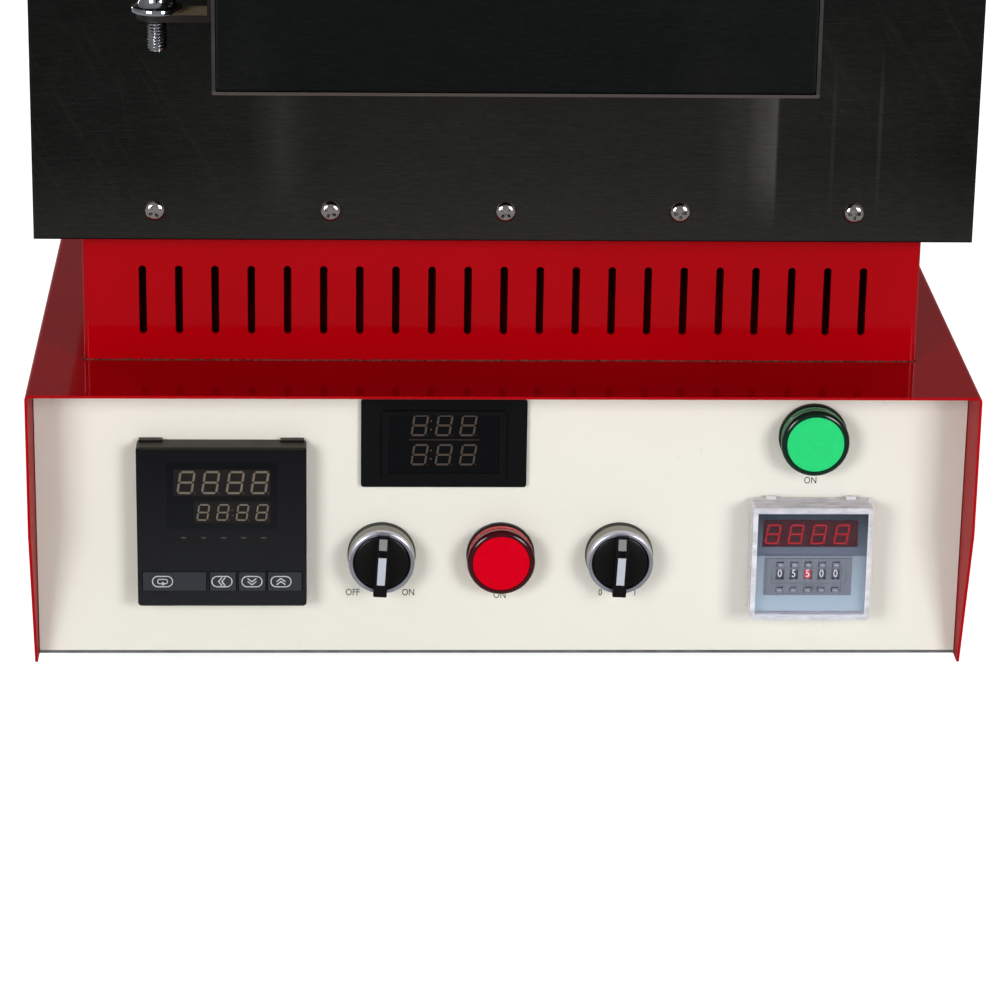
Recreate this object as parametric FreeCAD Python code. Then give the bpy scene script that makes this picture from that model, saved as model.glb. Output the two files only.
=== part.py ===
import FreeCAD, Part
import math
import os
from FreeCAD import Vector

# Burnout furnace: a red sheet-metal control base, a slotted plinth and a small
# front-opening kiln with a stainless front plate and a thick side-hung door.
# Lengths are in millimetres. X runs to the right, Y runs away from the viewer and
# Z runs up. While the pieces are made, Y is zero on the face of the control panel
# and Z is zero on the floor; at the end all are moved along Y together, so that
# the origin lies on the floor under the middle of the furnace.

# Sheet metal
sheet = 1.2
bend_radius = 2.0
thick_sheet = 1.5
fit_gap = 0.4

# Control base
base_width = 400.0
cover_height = 128.0
cover_ground_gap = 12.0
foot_height = 13.0
foot_radius = 15.0
foot_inset = 60.0
foot_taper = 2.0
visor_overhang = 27.4
wing_slant_height = 66.0
wing_foot_overhang = 7.4
base_rear = 398.0
pan_flange = 22.0
pan_side_gap = 0.2
pan_end_gap = 0.3
pan_upstand_gap = 6.0
panel_flange = 15.0
flange_end_gap = 4.0
wire_window_width = 130.0
wire_window_depth = 90.0

# Vent slots in the base's rear panel and in the kiln's rear panel
vent_slot_width = 4.0
slot_corner_share = 0.6
base_vent_rows = 2
base_vent_columns = 9
base_vent_x = 20.0
base_vent_pitch = 12.0
base_vent_rise = 26.0
base_vent_row_pitch = 40.0
base_vent_length = 28.0
casing_vent_columns = 7
casing_vent_pitch = 18.0
casing_vent_length = 40.0
casing_vent_drop = 30.0

# Plinth between the base and the kiln
plinth_width = 355.9
plinth_front = 20.0
plinth_rear = 376.0
plinth_height = 60.0
plinth_flange = 14.0
plinth_bend_radius = 2.5
slot_count = 21
slot_pitch = 15.32
slot_width = 3.2
slot_bottom = 11.9
slot_top = 42.0
slot_row_shift = 0.6

# Kiln casing, front plate and rear panel
plate_width = 393.7
plate_height = 400.0
plate_front = 3.47
plate_drop = 1.8
plate_return = 12.0
plate_edge_radius = 1.0
casing_rear = 386.0
casing_flange = 20.0
casing_corner = 3.0
casing_wire_slot_depth = 22.0
casing_wire_slot_inset = 6.0
rear_panel_inset = 4.0
rear_panel_corner = 4.0
rear_wiring_space = 34.0
plate_screw_pitch = 73.1
plate_screw_count = 5
plate_screw_inset = 13.0
rear_screw_inset = 12.0

# Chamber
chamber_width = 164.0
chamber_height = 156.0
chamber_depth = 232.0
muffle_wall = 15.0
mouth_gap = 0.6
fibre_gap = 0.5
element_radius = 4.0
element_gap = 0.5
element_row_pitch = 32.0
element_rows = 4
element_front_margin = 28.0
element_rear_margin = 26.0
element_sink = 5.0
element_tail = 16.0
hearth_thickness = 10.0
hearth_margin = 8.0
hearth_front_margin = 20.0
hearth_corner_radius = 6.0
thermocouple_radius = 4.0
thermocouple_reach = 38.0
thermocouple_rise = 36.0
thermocouple_head_radius = 11.0
thermocouple_head_length = 18.0

# Flue
flue_radius = 19.0
flue_wall = 1.2
flue_height = 62.0
flue_depth_in_chamber = 168.0
flue_flange_radius = 30.0
flue_flange_thickness = 2.0
damper_height = 15.0
damper_thickness = 1.2
damper_gap = 0.8
damper_shaft_radius = 2.0
damper_collar_radius = 22.0
damper_collar_rise = 6.0
damper_handle_reach = 19.0
damper_handle_drop = 12.0

# Door
door_width = 237.5
door_height = 231.6
door_front = -78.8
door_gap = 3.0
door_lip = 11.0
door_seal_gap = 0.5
plug_depth = 14.0
plug_side_gap = 7.0
plug_taper = 3.0

# Door hinges
pin_x = -142.0
pin_y = -45.0
pin_radius = 4.0
running_gap = 0.05
lug_thickness = 3.0
lug_half_width = 8.0
lug_leg_height = 30.0
lower_lug_rise = 22.2
upper_lug_drop = 62.0
pin_thread_length = 12.9
pin_tip_chamfer = 0.8
washer_radius = 10.1
washer_thickness = 1.6
nut_flats = 13.0
nut_height = 6.5
head_height = 5.3
bracket_leg_height = 34.0
bracket_leg_corner = 4.0
axial_gap = 0.35
lug_screw_radius = 3.4
lug_screw_height = 1.8
lug_screw_rises = (12.0, 23.0)

# Door latch
latch_y = -45.0
latch_thickness = 4.0
latch_boss_radius = 7.0
latch_boss_length = 4.0
latch_pin_radius = 4.0
latch_head_radius = 6.5
latch_head_height = 3.5
latch_side_gap = 0.3
latch_release_angle = 24.0
keeper_reach = 28.5
keeper_radius = 4.0
keeper_slot_half = 5.0
latch_lip = 7.5
latch_lip_rise = 6.0
latch_belly = 10.0
latch_arm_reach = 50.0
latch_arm_end_half = 5.5
latch_tip_corner = 3.0
latch_stem_radius = 1.9
latch_stem_length = 12.0
knob_radius = 13.0
knob_neck_radius = 6.0
knob_length = 38.0
knob_tip_chamfer = 3.0
keeper_plate_thickness = 3.0
keeper_plate_height = 46.0
keeper_plate_width = 34.0
keeper_arm_height = 26.0
keeper_arm_gap = 4.0
keeper_arm_end_margin = 5.0
keeper_plate_corner = 5.0

# Controller, 72 by 72
controller_x = -119.2
controller_z = 75.2
controller_size = 72.0
controller_proud = 10.95
controller_body = 67.0
controller_depth = 70.0
controller_corner = 1.6
controller_rim_chamfer = 0.8
controller_tab_width = 10.0
controller_tab_inset = 1.0
controller_tab_depth = 3.5
controller_tab_rise = 0.9
controller_window_left = 13.0
controller_window_width = 46.5
controller_window_drop = 6.5
controller_window_height = 30.0
window_thickness = 1.2
window_gap = 0.05
key_row_height = 8.4
key_row_bottom = 7.4
key_edges = ((2.2, 29.2), (30.8, 41.8), (43.1, 54.4), (55.6, 69.9))
key_names = ("key_set", "key_shift", "key_down", "key_up")
key_thickness = 2.2
key_proud = 0.4
key_side_gap = 0.35
key_floor_gap = 1.0

# Double panel meter
meter_x = -24.8
meter_z = 110.2
meter_width = 70.6
meter_height = 39.4
meter_proud = 2.0
meter_frame_width = 52.7
meter_frame_height = 29.8
meter_body_depth = 32.0
meter_body_margin = 3.0
meter_corner = 1.3
meter_frame_proud = 1.4
meter_frame_corner = 1.0
meter_window_side_margin = 3.0
meter_window_end_margin = 1.8
meter_window_sink = 0.5

# Timer, 48 by 48, with five digit wheels and a hinged clear cover
timer_x = 132.7
timer_z = 60.6
timer_width = 48.0
timer_height = 47.0
timer_proud = 10.5
timer_body = 44.0
timer_depth = 72.0
timer_corner = 1.0
timer_window_x0 = -20.7
timer_window_x1 = 19.4
timer_window_z0 = 6.8
timer_window_z1 = 18.5
wheel_count = 5
wheel_flats = 10
wheel_pitch = 6.0
wheel_first_x = -12.9
wheel_z = -6.4
wheel_radius = 6.7
wheel_width = 3.6
wheel_set_back = 0.5
wheel_axle_radius = 1.5
wheel_pocket_gap = 0.35
pocket_sides = 12
axle_sides = 8
digit_window_width = 3.7
digit_window_height = 4.6
module_proud = 0.6
module_x0 = -19.6
module_x1 = 18.2
module_z0 = -16.0
module_z1 = 2.4
button_width = 2.6
button_height = 1.8
button_rise = 4.7
button_drop = 6.9
button_proud = 1.1
button_length = 1.6
button_gap = 0.3
button_pocket_depth = 5.6
cover_wall = 1.2
cover_clearance = 0.5
cover_front = -15.5
cover_back = -0.8
cover_hinge_y = -2.3
cover_hinge_rise = 1.1
cover_rod_radius = 0.8
cover_bottom_clearance = 1.1
cover_ear_offset = 17.2
cover_ear_width = 4.4
cover_ear_radius = 1.7
cover_ear_gap = 0.3
cover_notch_gap = 0.4
cover_corner = 1.2

# Pilot lamps and selector switches, all in 22.3 mm holes
control_row_z = 59.2
heating_lamp_x = 0.0
power_lamp_x = 132.7
power_lamp_z = 113.4
switch_offset = 51.1
panel_hole_radius = 11.15
barrel_radius = 11.0
barrel_length = 34.0
lamp_flange_radius = 14.4
lamp_flange_height = 2.4
lamp_proud = 11.4
lens_disc_radius = 14.0
lens_disc_height = 3.8
lens_waist_radius = 13.5
switch_proud = 9.0
switch_bezel_radius = 14.3
switch_rim_chamfer = 0.9
switch_floor = 2.0
knob_disc_radius = 11.8
knob_disc_gap = 0.3
knob_disc_sink = 0.5
knob_end_gap = 0.4
knob_lever_length = 27.5
knob_lever_width = 5.6
knob_lever_taper = 0.5
knob_lever_top_step = 2.2
knob_lever_top_slope = 1.2
knob_lever_shoulder = 3.0
knob_lever_foot_chamfer = 1.0
knob_lever_foot_length = 4.4
knob_lever_foot_gap = 0.8
knob_root_sink = 0.5
knob_proud = 17.0
knob_shaft_radius = 4.0
knob_shaft_length = 14.0
ring_nut_flats = 28.0
ring_nut_height = 4.0
contact_block_size = 24.0
contact_block_depth = 22.0

# Electrical parts in the base
heatsink_length = 100.0
heatsink_width = 78.0
heatsink_base = 5.0
heatsink_fin_count = 9
heatsink_fin_height = 26.0
heatsink_fin_thickness = 2.0
relay_length = 58.0
relay_width = 45.0
relay_height = 24.0
relay_corner = 3.0
heatsink_x = -60.0
heatsink_y = 190.0
terminal_ways = 10
terminal_pitch = 10.0
terminal_depth = 26.0
terminal_height = 16.0
terminal_x = 20.0
terminal_rear_margin = 84.0
terminal_wall = 1.2
terminal_trough_depth = 8.0
terminal_trough_rise = 7.0

# Cable gland at the rear of the base
gland_side_inset = 70.0
gland_z = 48.0
gland_thread_radius = 9.9
gland_bore_radius = 5.0
gland_flats = 24.0
gland_inner_length = 12.0
gland_outer_length = 22.0
gland_collar_length = 6.0
gland_dome_radius = 11.5
gland_dome_slope = 6.0
gland_mouth_radius = 7.5
gland_bore_length = 60.0
locknut_length = 5.0

# Screws
cabinet_head_radius = 3.9
cabinet_head_height = 2.4
screw_head_sides = 12
hole_gap = 0.15
side_screw_end_inset = 60.0
side_screw_share = 0.55
base_rear_screw_inset = 14.0

# Levels and places that follow from the sizes above
cover_bottom = cover_ground_gap
cover_top = cover_bottom + cover_height
cover_inner_half = base_width / 2 - sheet
pan_bottom = foot_height
pan_top = pan_bottom + thick_sheet
panel_half = cover_inner_half - fit_gap
panel_top = cover_top - sheet - fit_gap
rear_panel_face = base_rear - 1.0
plinth_bottom = cover_top
plinth_top = plinth_bottom + plinth_height
plate_bottom = plinth_top - plate_drop
plate_top = plate_bottom + plate_height
casing_half = plate_width / 2 - plate_drop
casing_bottom = plinth_top
casing_top = plate_top - plate_drop
casing_front = plate_front + sheet
chamber_z = (plate_bottom + plate_top) / 2
chamber_rear = plate_front + chamber_depth
element_front = plate_front + element_front_margin
element_rear = chamber_rear - element_rear_margin
muffle_half_width = chamber_width / 2 + muffle_wall
muffle_half_height = chamber_height / 2 + muffle_wall
muffle_rear = chamber_rear + muffle_wall
insulation_front = casing_front + sheet
insulation_rear = casing_rear - rear_wiring_space
door_bottom = chamber_z - door_height / 2
door_top = chamber_z + door_height / 2
door_half = door_width / 2
door_rear = plate_front - door_gap
seal_y = plate_front - door_seal_gap
lug_levels = (door_bottom + lower_lug_rise, door_top - upper_lug_drop)
latch_z = chamber_z
lever_inner_x = door_half + latch_boss_length + latch_side_gap
lever_outer_x = lever_inner_x + latch_thickness
keeper_y = latch_y + keeper_reach
timer_top = timer_z + timer_height / 2
timer_bottom = timer_z - timer_height / 2
cover_hinge_z = timer_top + cover_hinge_rise
wheel_axle_y = -timer_proud - module_proud + wheel_set_back + wheel_radius
flue_y = plate_front + flue_depth_in_chamber
flue_top = casing_top + flue_height
damper_z = casing_top + flue_flange_thickness + damper_height
collar_top = damper_z + damper_collar_rise
gland_x = -base_width / 2 + gland_side_inset


def box(x0, x1, y0, y1, z0, z1):
    return Part.makeBox(x1 - x0, y1 - y0, z1 - z0, Vector(x0, y0, z0))


def rod(x, y, z, direction, radius, length):
    return Part.makeCylinder(radius, length, Vector(x, y, z), Vector(*direction))


def prism(corners, travel):
    face = Part.Face(Part.makePolygon(corners + [corners[0]]))
    return face.extrude(travel)


def prism_x(yz_corners, x0, x1):
    return prism([Vector(x0, y, z) for y, z in yz_corners], Vector(x1 - x0, 0, 0))


def prism_y(xz_corners, y0, y1):
    return prism([Vector(x, y0, z) for x, z in xz_corners], Vector(0, y1 - y0, 0))


def turned_about_y(x, z, profile):
    """A body of revolution about a line along Y; the profile lists radius and Y."""
    corners = [Vector(x + radius, y, z) for radius, y in profile]
    face = Part.Face(Part.makePolygon(corners + [corners[0]]))
    return face.revolve(Vector(x, 0, z), Vector(0, 1, 0), 360)


def sided_rod(x, y, z, direction, sides, corner_radius, length):
    """A rod with flat sides that stands at the given place and runs along the direction."""
    along = Vector(*direction)
    first = Vector(1, 0, 0) if along.x == 0 else Vector(0, 0, 1)
    second = along.cross(first)
    corners = []
    for step in range(sides):
        angle = 2 * math.pi * (step + 0.5) / sides
        spoke = first * math.cos(angle) + second * math.sin(angle)
        corners.append(Vector(x, y, z) + spoke * corner_radius)
    return prism(corners, along * length)


def hexagon(x, y, z, direction, flats, length):
    return sided_rod(x, y, z, direction, 6, flats / math.sqrt(3), length)


def upright_slot(x, z0, z1, width, y0, y1):
    """A narrow slot through a wall; each round end is drawn as three flats."""
    half = width / 2
    corner = half * slot_corner_share
    outline = [(x - half, z0 + corner), (x - half + corner, z0), (x + half - corner, z0), (x + half, z0 + corner),
               (x + half, z1 - corner), (x + half - corner, z1), (x - half + corner, z1), (x - half, z1 - corner)]
    return prism_y(outline, y0, y1)


def round_edges(shape, radius, chosen):
    edges = [edge for edge in shape.Edges if chosen(edge)]
    return shape.makeFillet(radius, edges)


def runs_along(edge, axis):
    start = edge.Vertexes[0].Point
    end = edge.Vertexes[-1].Point
    run = end.sub(start)
    if run.Length < 1e-6:
        return False
    return abs(run.normalize().dot(Vector(*axis))) > 0.999


def rounded_block(x0, x1, y0, y1, z0, z1, radius, axis):
    block = box(x0, x1, y0, y1, z0, z1)
    return round_edges(block, radius, lambda edge: runs_along(edge, axis))


def screw_head(x, y, z, direction):
    """The plain head of a cabinet screw, seated on a sheet and standing out along the direction."""
    return sided_rod(x, y, z, direction, screw_head_sides, cabinet_head_radius, cabinet_head_height)


def plate_screw_places():
    middle = (plate_screw_count - 1) / 2
    columns = [(index - middle) * plate_screw_pitch for index in range(plate_screw_count)]
    rows = (plate_bottom + plate_screw_inset, plate_top - plate_screw_inset)
    return [(x, z) for z in rows for x in columns]


def base_side_screw_places():
    level = pan_top + pan_flange * side_screw_share
    return [(y, level) for y in (side_screw_end_inset, base_rear / 2, base_rear - side_screw_end_inset)]


def rear_panel_screw_places():
    reach_x = casing_half - rear_screw_inset
    rows = (casing_bottom + rear_screw_inset, chamber_z, casing_top - rear_screw_inset)
    return [(x, z) for x in (-reach_x, reach_x) for z in rows]


def base_rear_screw_places():
    reach = cover_inner_half - base_rear_screw_inset
    rows = (pan_top + base_rear_screw_inset, panel_top - base_rear_screw_inset)
    return [(x, z) for x in (-reach, reach) for z in rows]


def foot_places():
    reach = base_width / 2 - foot_inset
    return [(x, y) for x in (-reach, reach) for y in (foot_inset, base_rear - foot_inset)]


def shelled_tube_y(half_width, z0, z1, y0, y1, wall, corner):
    outer = rounded_block(-half_width, half_width, y0, y1, z0, z1, corner, (0, 1, 0))
    inner = box(-half_width + wall, half_width - wall, y0, y1, z0 + wall, z1 - wall)
    return outer.cut(inner)


def base_cover():
    half = base_width / 2
    outer = box(-half, half, -visor_overhang, base_rear, cover_bottom, cover_top)
    outer = round_edges(outer, bend_radius,
                        lambda edge: runs_along(edge, (0, 1, 0)) and edge.CenterOfMass.z > cover_top - 1)
    inner = box(-cover_inner_half, cover_inner_half, -visor_overhang - 1, base_rear + 1,
                cover_bottom - 1, cover_top - sheet)
    inner = round_edges(inner, bend_radius - sheet,
                        lambda edge: runs_along(edge, (0, 1, 0)) and edge.CenterOfMass.z > cover_top - sheet - 1)
    cover = outer.cut(inner)
    slant = [(-visor_overhang - 1, cover_bottom - 1), (-visor_overhang - 1, cover_bottom + wing_slant_height),
             (-visor_overhang, cover_bottom + wing_slant_height), (-wing_foot_overhang, cover_bottom),
             (-wing_foot_overhang, cover_bottom - 1)]
    cover = cover.cut(prism_x(slant, -half - 1, half + 1))
    plinth_middle = (plinth_front + plinth_rear) / 2
    wire_window = box(-wire_window_width / 2, wire_window_width / 2, plinth_middle - wire_window_depth / 2,
                      plinth_middle + wire_window_depth / 2, cover_top - 2 * sheet, cover_top + 1)
    return cover.cut(wire_window)


def base_pan():
    half = cover_inner_half - pan_side_gap
    floor = box(-half, half, pan_end_gap, rear_panel_face - pan_end_gap, pan_bottom, pan_top)
    upstands = []
    end_inset = panel_flange + pan_upstand_gap
    for side in (-1, 1):
        x0, x1 = sorted((side * half, side * (half - thick_sheet)))
        upstands.append(box(x0, x1, end_inset, base_rear - end_inset, pan_top, pan_top + pan_flange))
    return floor.fuse(upstands).removeSplitter()


def rubber_feet():
    feet = []
    for x, y in foot_places():
        foot = Part.makeCone(foot_radius - foot_taper, foot_radius, foot_height, Vector(x, y, 0), Vector(0, 0, 1))
        feet.append(foot)
    return Part.makeCompound(feet)


def lamp_places():
    return ((heating_lamp_x, control_row_z), (power_lamp_x, power_lamp_z))


def switch_places():
    return ((-switch_offset, control_row_z), (switch_offset, control_row_z))


def control_panel():
    face = box(-panel_half, panel_half, 0, thick_sheet, pan_top, panel_top)
    flange_half = panel_half - flange_end_gap
    flanges = [box(-flange_half, flange_half, thick_sheet, panel_flange, z, z + thick_sheet)
               for z in (pan_top, panel_top - thick_sheet)]
    panel = face.fuse(flanges).removeSplitter()
    cuts = []
    for x, z in lamp_places() + switch_places():
        cuts.append(rod(x, -1, z, (0, 1, 0), panel_hole_radius, thick_sheet + 2))
    half = controller_body / 2 + fit_gap
    cuts.append(box(controller_x - half, controller_x + half, -1, thick_sheet + 1,
                    controller_z - half, controller_z + half))
    half_x = meter_width / 2 - meter_body_margin + fit_gap
    half_z = meter_height / 2 - meter_body_margin + fit_gap
    cuts.append(box(meter_x - half_x, meter_x + half_x, -1, panel_flange - 1, meter_z - half_z, meter_z + half_z))
    half = timer_body / 2 + fit_gap
    cuts.append(box(timer_x - half, timer_x + half, -1, thick_sheet + 1, timer_z - half, timer_z + half))
    return panel.cut(cuts)


def base_rear_panel():
    face = box(-panel_half, panel_half, rear_panel_face - sheet, rear_panel_face, pan_top, panel_top)
    flange = box(-panel_half + flange_end_gap, panel_half - flange_end_gap, rear_panel_face - panel_flange,
                 rear_panel_face, pan_top, pan_top + sheet)
    panel = face.fuse(flange).removeSplitter()
    cuts = [rod(gland_x, rear_panel_face - 3, gland_z, (0, 1, 0), gland_thread_radius + hole_gap, 6)]
    for row in range(base_vent_rows):
        z0 = pan_top + base_vent_rise + row * base_vent_row_pitch
        for column in range(base_vent_columns):
            x = base_vent_x + column * base_vent_pitch
            cuts.append(upright_slot(x, z0, z0 + base_vent_length, vent_slot_width,
                                     rear_panel_face - 3, rear_panel_face + 1))
    return panel.cut(cuts)


def plinth():
    half = plinth_width / 2
    outer = rounded_block(-half, half, plinth_front, plinth_rear, plinth_bottom, plinth_top,
                          plinth_bend_radius, (0, 0, 1))
    core = box(-half + thick_sheet, half - thick_sheet, plinth_front + thick_sheet, plinth_rear - thick_sheet,
               plinth_bottom + thick_sheet, plinth_top - thick_sheet)
    inset = plinth_flange
    window = box(-half + inset, half - inset, plinth_front + inset, plinth_rear - inset,
                 plinth_bottom - 1, plinth_top + 1)
    frame = outer.cut([core, window])
    slots = []
    for index in range(slot_count):
        x = (index - (slot_count - 1) / 2) * slot_pitch + slot_row_shift
        slots.append(upright_slot(x, plinth_bottom + slot_bottom, plinth_bottom + slot_top,
                                  slot_width, plinth_front - 3, plinth_front + 3))
    return frame.cut(slots)


def upper_casing():
    shell = shelled_tube_y(casing_half, casing_bottom, casing_top, casing_front, casing_rear, sheet, casing_corner)
    window = box(-casing_half + casing_flange, casing_half - casing_flange, casing_front - 1, casing_rear + 1,
                 casing_bottom + casing_flange, casing_top - casing_flange)
    rims = []
    for y in (casing_front, casing_rear - sheet):
        rim = box(-casing_half + sheet, casing_half - sheet, y, y + sheet, casing_bottom + sheet, casing_top - sheet)
        rims.append(rim.cut(window))
    casing = shell.fuse(rims).removeSplitter()
    flue_hole = rod(0, flue_y, casing_top - 3, (0, 0, 1), flue_radius + hole_gap, 6)
    slot_rear = casing_rear - casing_wire_slot_inset
    wire_slot = box(-wire_window_width / 2, wire_window_width / 2, slot_rear - casing_wire_slot_depth, slot_rear,
                    casing_bottom - 1, casing_bottom + 2 * sheet)
    return casing.cut([flue_hole, wire_slot])


def front_plate():
    half = plate_width / 2
    outer = box(-half, half, plate_front, plate_front + plate_return, plate_bottom, plate_top)
    outer = round_edges(outer, plate_edge_radius, lambda edge: edge.CenterOfMass.y < plate_front + 0.01)
    inner = box(-half + sheet, half - sheet, plate_front + sheet, plate_front + plate_return + 1,
                plate_bottom + sheet, plate_top - sheet)
    mouth = box(-muffle_half_width - mouth_gap, muffle_half_width + mouth_gap, plate_front - 1, plate_front + 3,
                chamber_z - muffle_half_height - mouth_gap, chamber_z + muffle_half_height + mouth_gap)
    return outer.cut([inner, mouth])


def casing_rear_panel():
    inset = rear_panel_inset
    panel = rounded_block(-casing_half + inset, casing_half - inset, casing_rear, casing_rear + sheet,
                          casing_bottom + inset, casing_top - inset, rear_panel_corner, (0, 1, 0))
    slots = []
    slot_high = casing_top - casing_vent_drop
    for column in range(casing_vent_columns):
        x = (column - (casing_vent_columns - 1) / 2) * casing_vent_pitch
        slots.append(upright_slot(x, slot_high - casing_vent_length, slot_high, vent_slot_width,
                                  casing_rear - 2, casing_rear + 3))
    return panel.cut(slots)


def element_rows_z():
    middle = (element_rows - 1) / 2
    return [chamber_z + (middle - row) * element_row_pitch for row in range(element_rows)]


def element_body(side):
    """A heating element that runs to and fro in one side wall, with both ends out at the rear."""
    x = side * (chamber_width / 2 + element_sink)
    tail_y = insulation_rear + element_tail
    corners = [Vector(x, tail_y, element_rows_z()[0])]
    for row, z in enumerate(element_rows_z()):
        ends = (element_rear, element_front) if row % 2 == 0 else (element_front, element_rear)
        corners += [Vector(x, y, z) for y in ends]
    corners[1:2] = []
    corners[-1] = Vector(x, tail_y, element_rows_z()[-1])
    section = Part.Wire(Part.makeCircle(element_radius, corners[0], Vector(0, 1, 0)))
    sweep = Part.BRepOffsetAPI.MakePipeShell(Part.makePolygon(corners))
    sweep.setTransitionMode(1)
    sweep.add(section)
    sweep.build()
    sweep.makeSolid()
    return sweep.shape()


def heating_elements():
    return Part.makeCompound([element_body(side) for side in (-1, 1)])


def element_grooves():
    """Square grooves, open to the chamber, that hold the runs and the links of both elements."""
    reach = element_radius + element_gap
    rows = element_rows_z()
    grooves = []
    for side in (-1, 1):
        x = side * (chamber_width / 2 + element_sink)
        x0, x1 = sorted((side * (chamber_width / 2 - 1), x + side * reach))
        for row, z in enumerate(rows):
            grooves.append(box(x0, x1, element_front - reach, element_rear + reach, z - reach, z + reach))
        for row, z in enumerate(rows[:-1]):
            turn_y = element_front if row % 2 == 0 else element_rear
            grooves.append(box(x0, x1, turn_y - reach, turn_y + reach, z - element_row_pitch, z))
    return grooves + element_tail_holes(element_rear, muffle_rear + 1)


def element_tail_holes(y0, y1):
    reach = element_radius + element_gap
    holes = []
    for side in (-1, 1):
        x = side * (chamber_width / 2 + element_sink)
        for z in (element_rows_z()[0], element_rows_z()[-1]):
            holes.append(box(x - reach, x + reach, y0, y1, z - reach, z + reach))
    return holes


def muffle():
    outer = box(-muffle_half_width, muffle_half_width, plate_front, muffle_rear,
                chamber_z - muffle_half_height, chamber_z + muffle_half_height)
    inner = box(-chamber_width / 2, chamber_width / 2, plate_front - 1, chamber_rear,
                chamber_z - chamber_height / 2, chamber_z + chamber_height / 2)
    body = outer.cut(inner)
    cuts = element_grooves()
    cuts.append(rod(0, chamber_rear - 1, chamber_z + thermocouple_rise, (0, 1, 0),
                    thermocouple_radius + hole_gap, muffle_wall + 2))
    cuts.append(rod(0, flue_y, chamber_z, (0, 0, 1), flue_radius + hole_gap, chamber_height))
    return body.cut(cuts)


def fibre_insulation():
    block = box(-casing_half + sheet + fibre_gap, casing_half - sheet - fibre_gap, insulation_front, insulation_rear,
                casing_bottom + sheet, casing_top - sheet - fibre_gap)
    hollow = box(-muffle_half_width, muffle_half_width, insulation_front - 1, muffle_rear,
                 chamber_z - muffle_half_height, chamber_z + muffle_half_height)
    cuts = [hollow] + element_tail_holes(muffle_rear - 1, insulation_rear + 1)
    cuts.append(rod(0, muffle_rear - 1, chamber_z + thermocouple_rise, (0, 1, 0),
                    thermocouple_radius + hole_gap, insulation_rear - muffle_rear + 2))
    cuts.append(rod(0, flue_y, chamber_z, (0, 0, 1), flue_radius + hole_gap, casing_top - chamber_z))
    return block.cut(cuts)


def hearth_plate():
    floor = chamber_z - chamber_height / 2
    half = chamber_width / 2 - hearth_margin
    return rounded_block(-half, half, plate_front + hearth_front_margin, chamber_rear - hearth_margin,
                         floor, floor + hearth_thickness, hearth_corner_radius, (0, 0, 1))


def thermocouple():
    z = chamber_z + thermocouple_rise
    tip = chamber_rear - thermocouple_reach
    sheath = rod(0, tip, z, (0, 1, 0), thermocouple_radius, insulation_rear - tip)
    head = rod(0, insulation_rear, z, (0, 1, 0), thermocouple_head_radius, thermocouple_head_length)
    return sheath.fuse(head)


def vent_tube():
    foot = chamber_z + chamber_height / 2
    length = flue_top - foot
    tube = rod(0, flue_y, foot, (0, 0, 1), flue_radius, length)
    flange = rod(0, flue_y, casing_top, (0, 0, 1), flue_flange_radius, flue_flange_thickness)
    collar = rod(0, flue_y, casing_top, (0, 0, 1), damper_collar_radius, collar_top - casing_top)
    bore = rod(0, flue_y, foot - 1, (0, 0, 1), flue_radius - flue_wall, length + 2)
    half = damper_collar_radius + 1
    cross = rod(-half, flue_y, damper_z, (1, 0, 0), damper_shaft_radius + running_gap, 2 * half)
    return tube.fuse([flange, collar]).cut([bore, cross])


def vent_damper():
    """A butterfly damper, drawn open: its disc stands upright in the flue."""
    disc_radius = flue_radius - flue_wall - damper_gap
    disc = rod(0, flue_y - damper_thickness / 2, damper_z, (0, 1, 0), disc_radius, damper_thickness)
    left = -damper_collar_radius - damper_shaft_radius
    right = damper_collar_radius + damper_handle_reach
    shaft = rod(left, flue_y, damper_z, (1, 0, 0), damper_shaft_radius, right - left)
    handle = rod(right - damper_shaft_radius, flue_y, damper_z, (0, 0, -1), damper_shaft_radius, damper_handle_drop)
    return disc.fuse([shaft, handle])


def front_plate_screws():
    return Part.makeCompound([screw_head(x, plate_front, z, (0, -1, 0)) for x, z in plate_screw_places()])


def cabinet_screws():
    heads = []
    for side in (-1, 1):
        for y, z in base_side_screw_places():
            heads.append(screw_head(side * base_width / 2, y, z, (side, 0, 0)))
    heads += [screw_head(x, casing_rear + sheet, z, (0, 1, 0)) for x, z in rear_panel_screw_places()]
    heads += [screw_head(x, rear_panel_face, z, (0, 1, 0)) for x, z in base_rear_screw_places()]
    return Part.makeCompound(heads)


def bracket_level(lug_level):
    return lug_level + lug_thickness + washer_thickness + nut_height + axial_gap


def hinge_brackets():
    """Two angle brackets on the front plate, each with a forward lug that carries a door pin."""
    brackets = []
    for level in lug_levels:
        z = bracket_level(level)
        x0 = pin_x - lug_half_width
        x1 = pin_x + lug_half_width
        arm = box(x0, x1, pin_y, plate_front, z, z + lug_thickness)
        nose = rod(pin_x, pin_y, z, (0, 0, 1), lug_half_width, lug_thickness)
        leg = box(x0, x1, plate_front - lug_thickness, plate_front, z, z + bracket_leg_height)
        leg = round_edges(leg, bracket_leg_corner,
                          lambda edge: runs_along(edge, (0, 1, 0)) and edge.CenterOfMass.z > z + 10)
        bore = rod(pin_x, pin_y, z - 1, (0, 0, 1), pin_radius + running_gap, lug_thickness + 2)
        bracket = arm.fuse([nose, leg]).removeSplitter()
        brackets.append(bracket.cut(bore))
    return Part.makeCompound(brackets)


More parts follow.
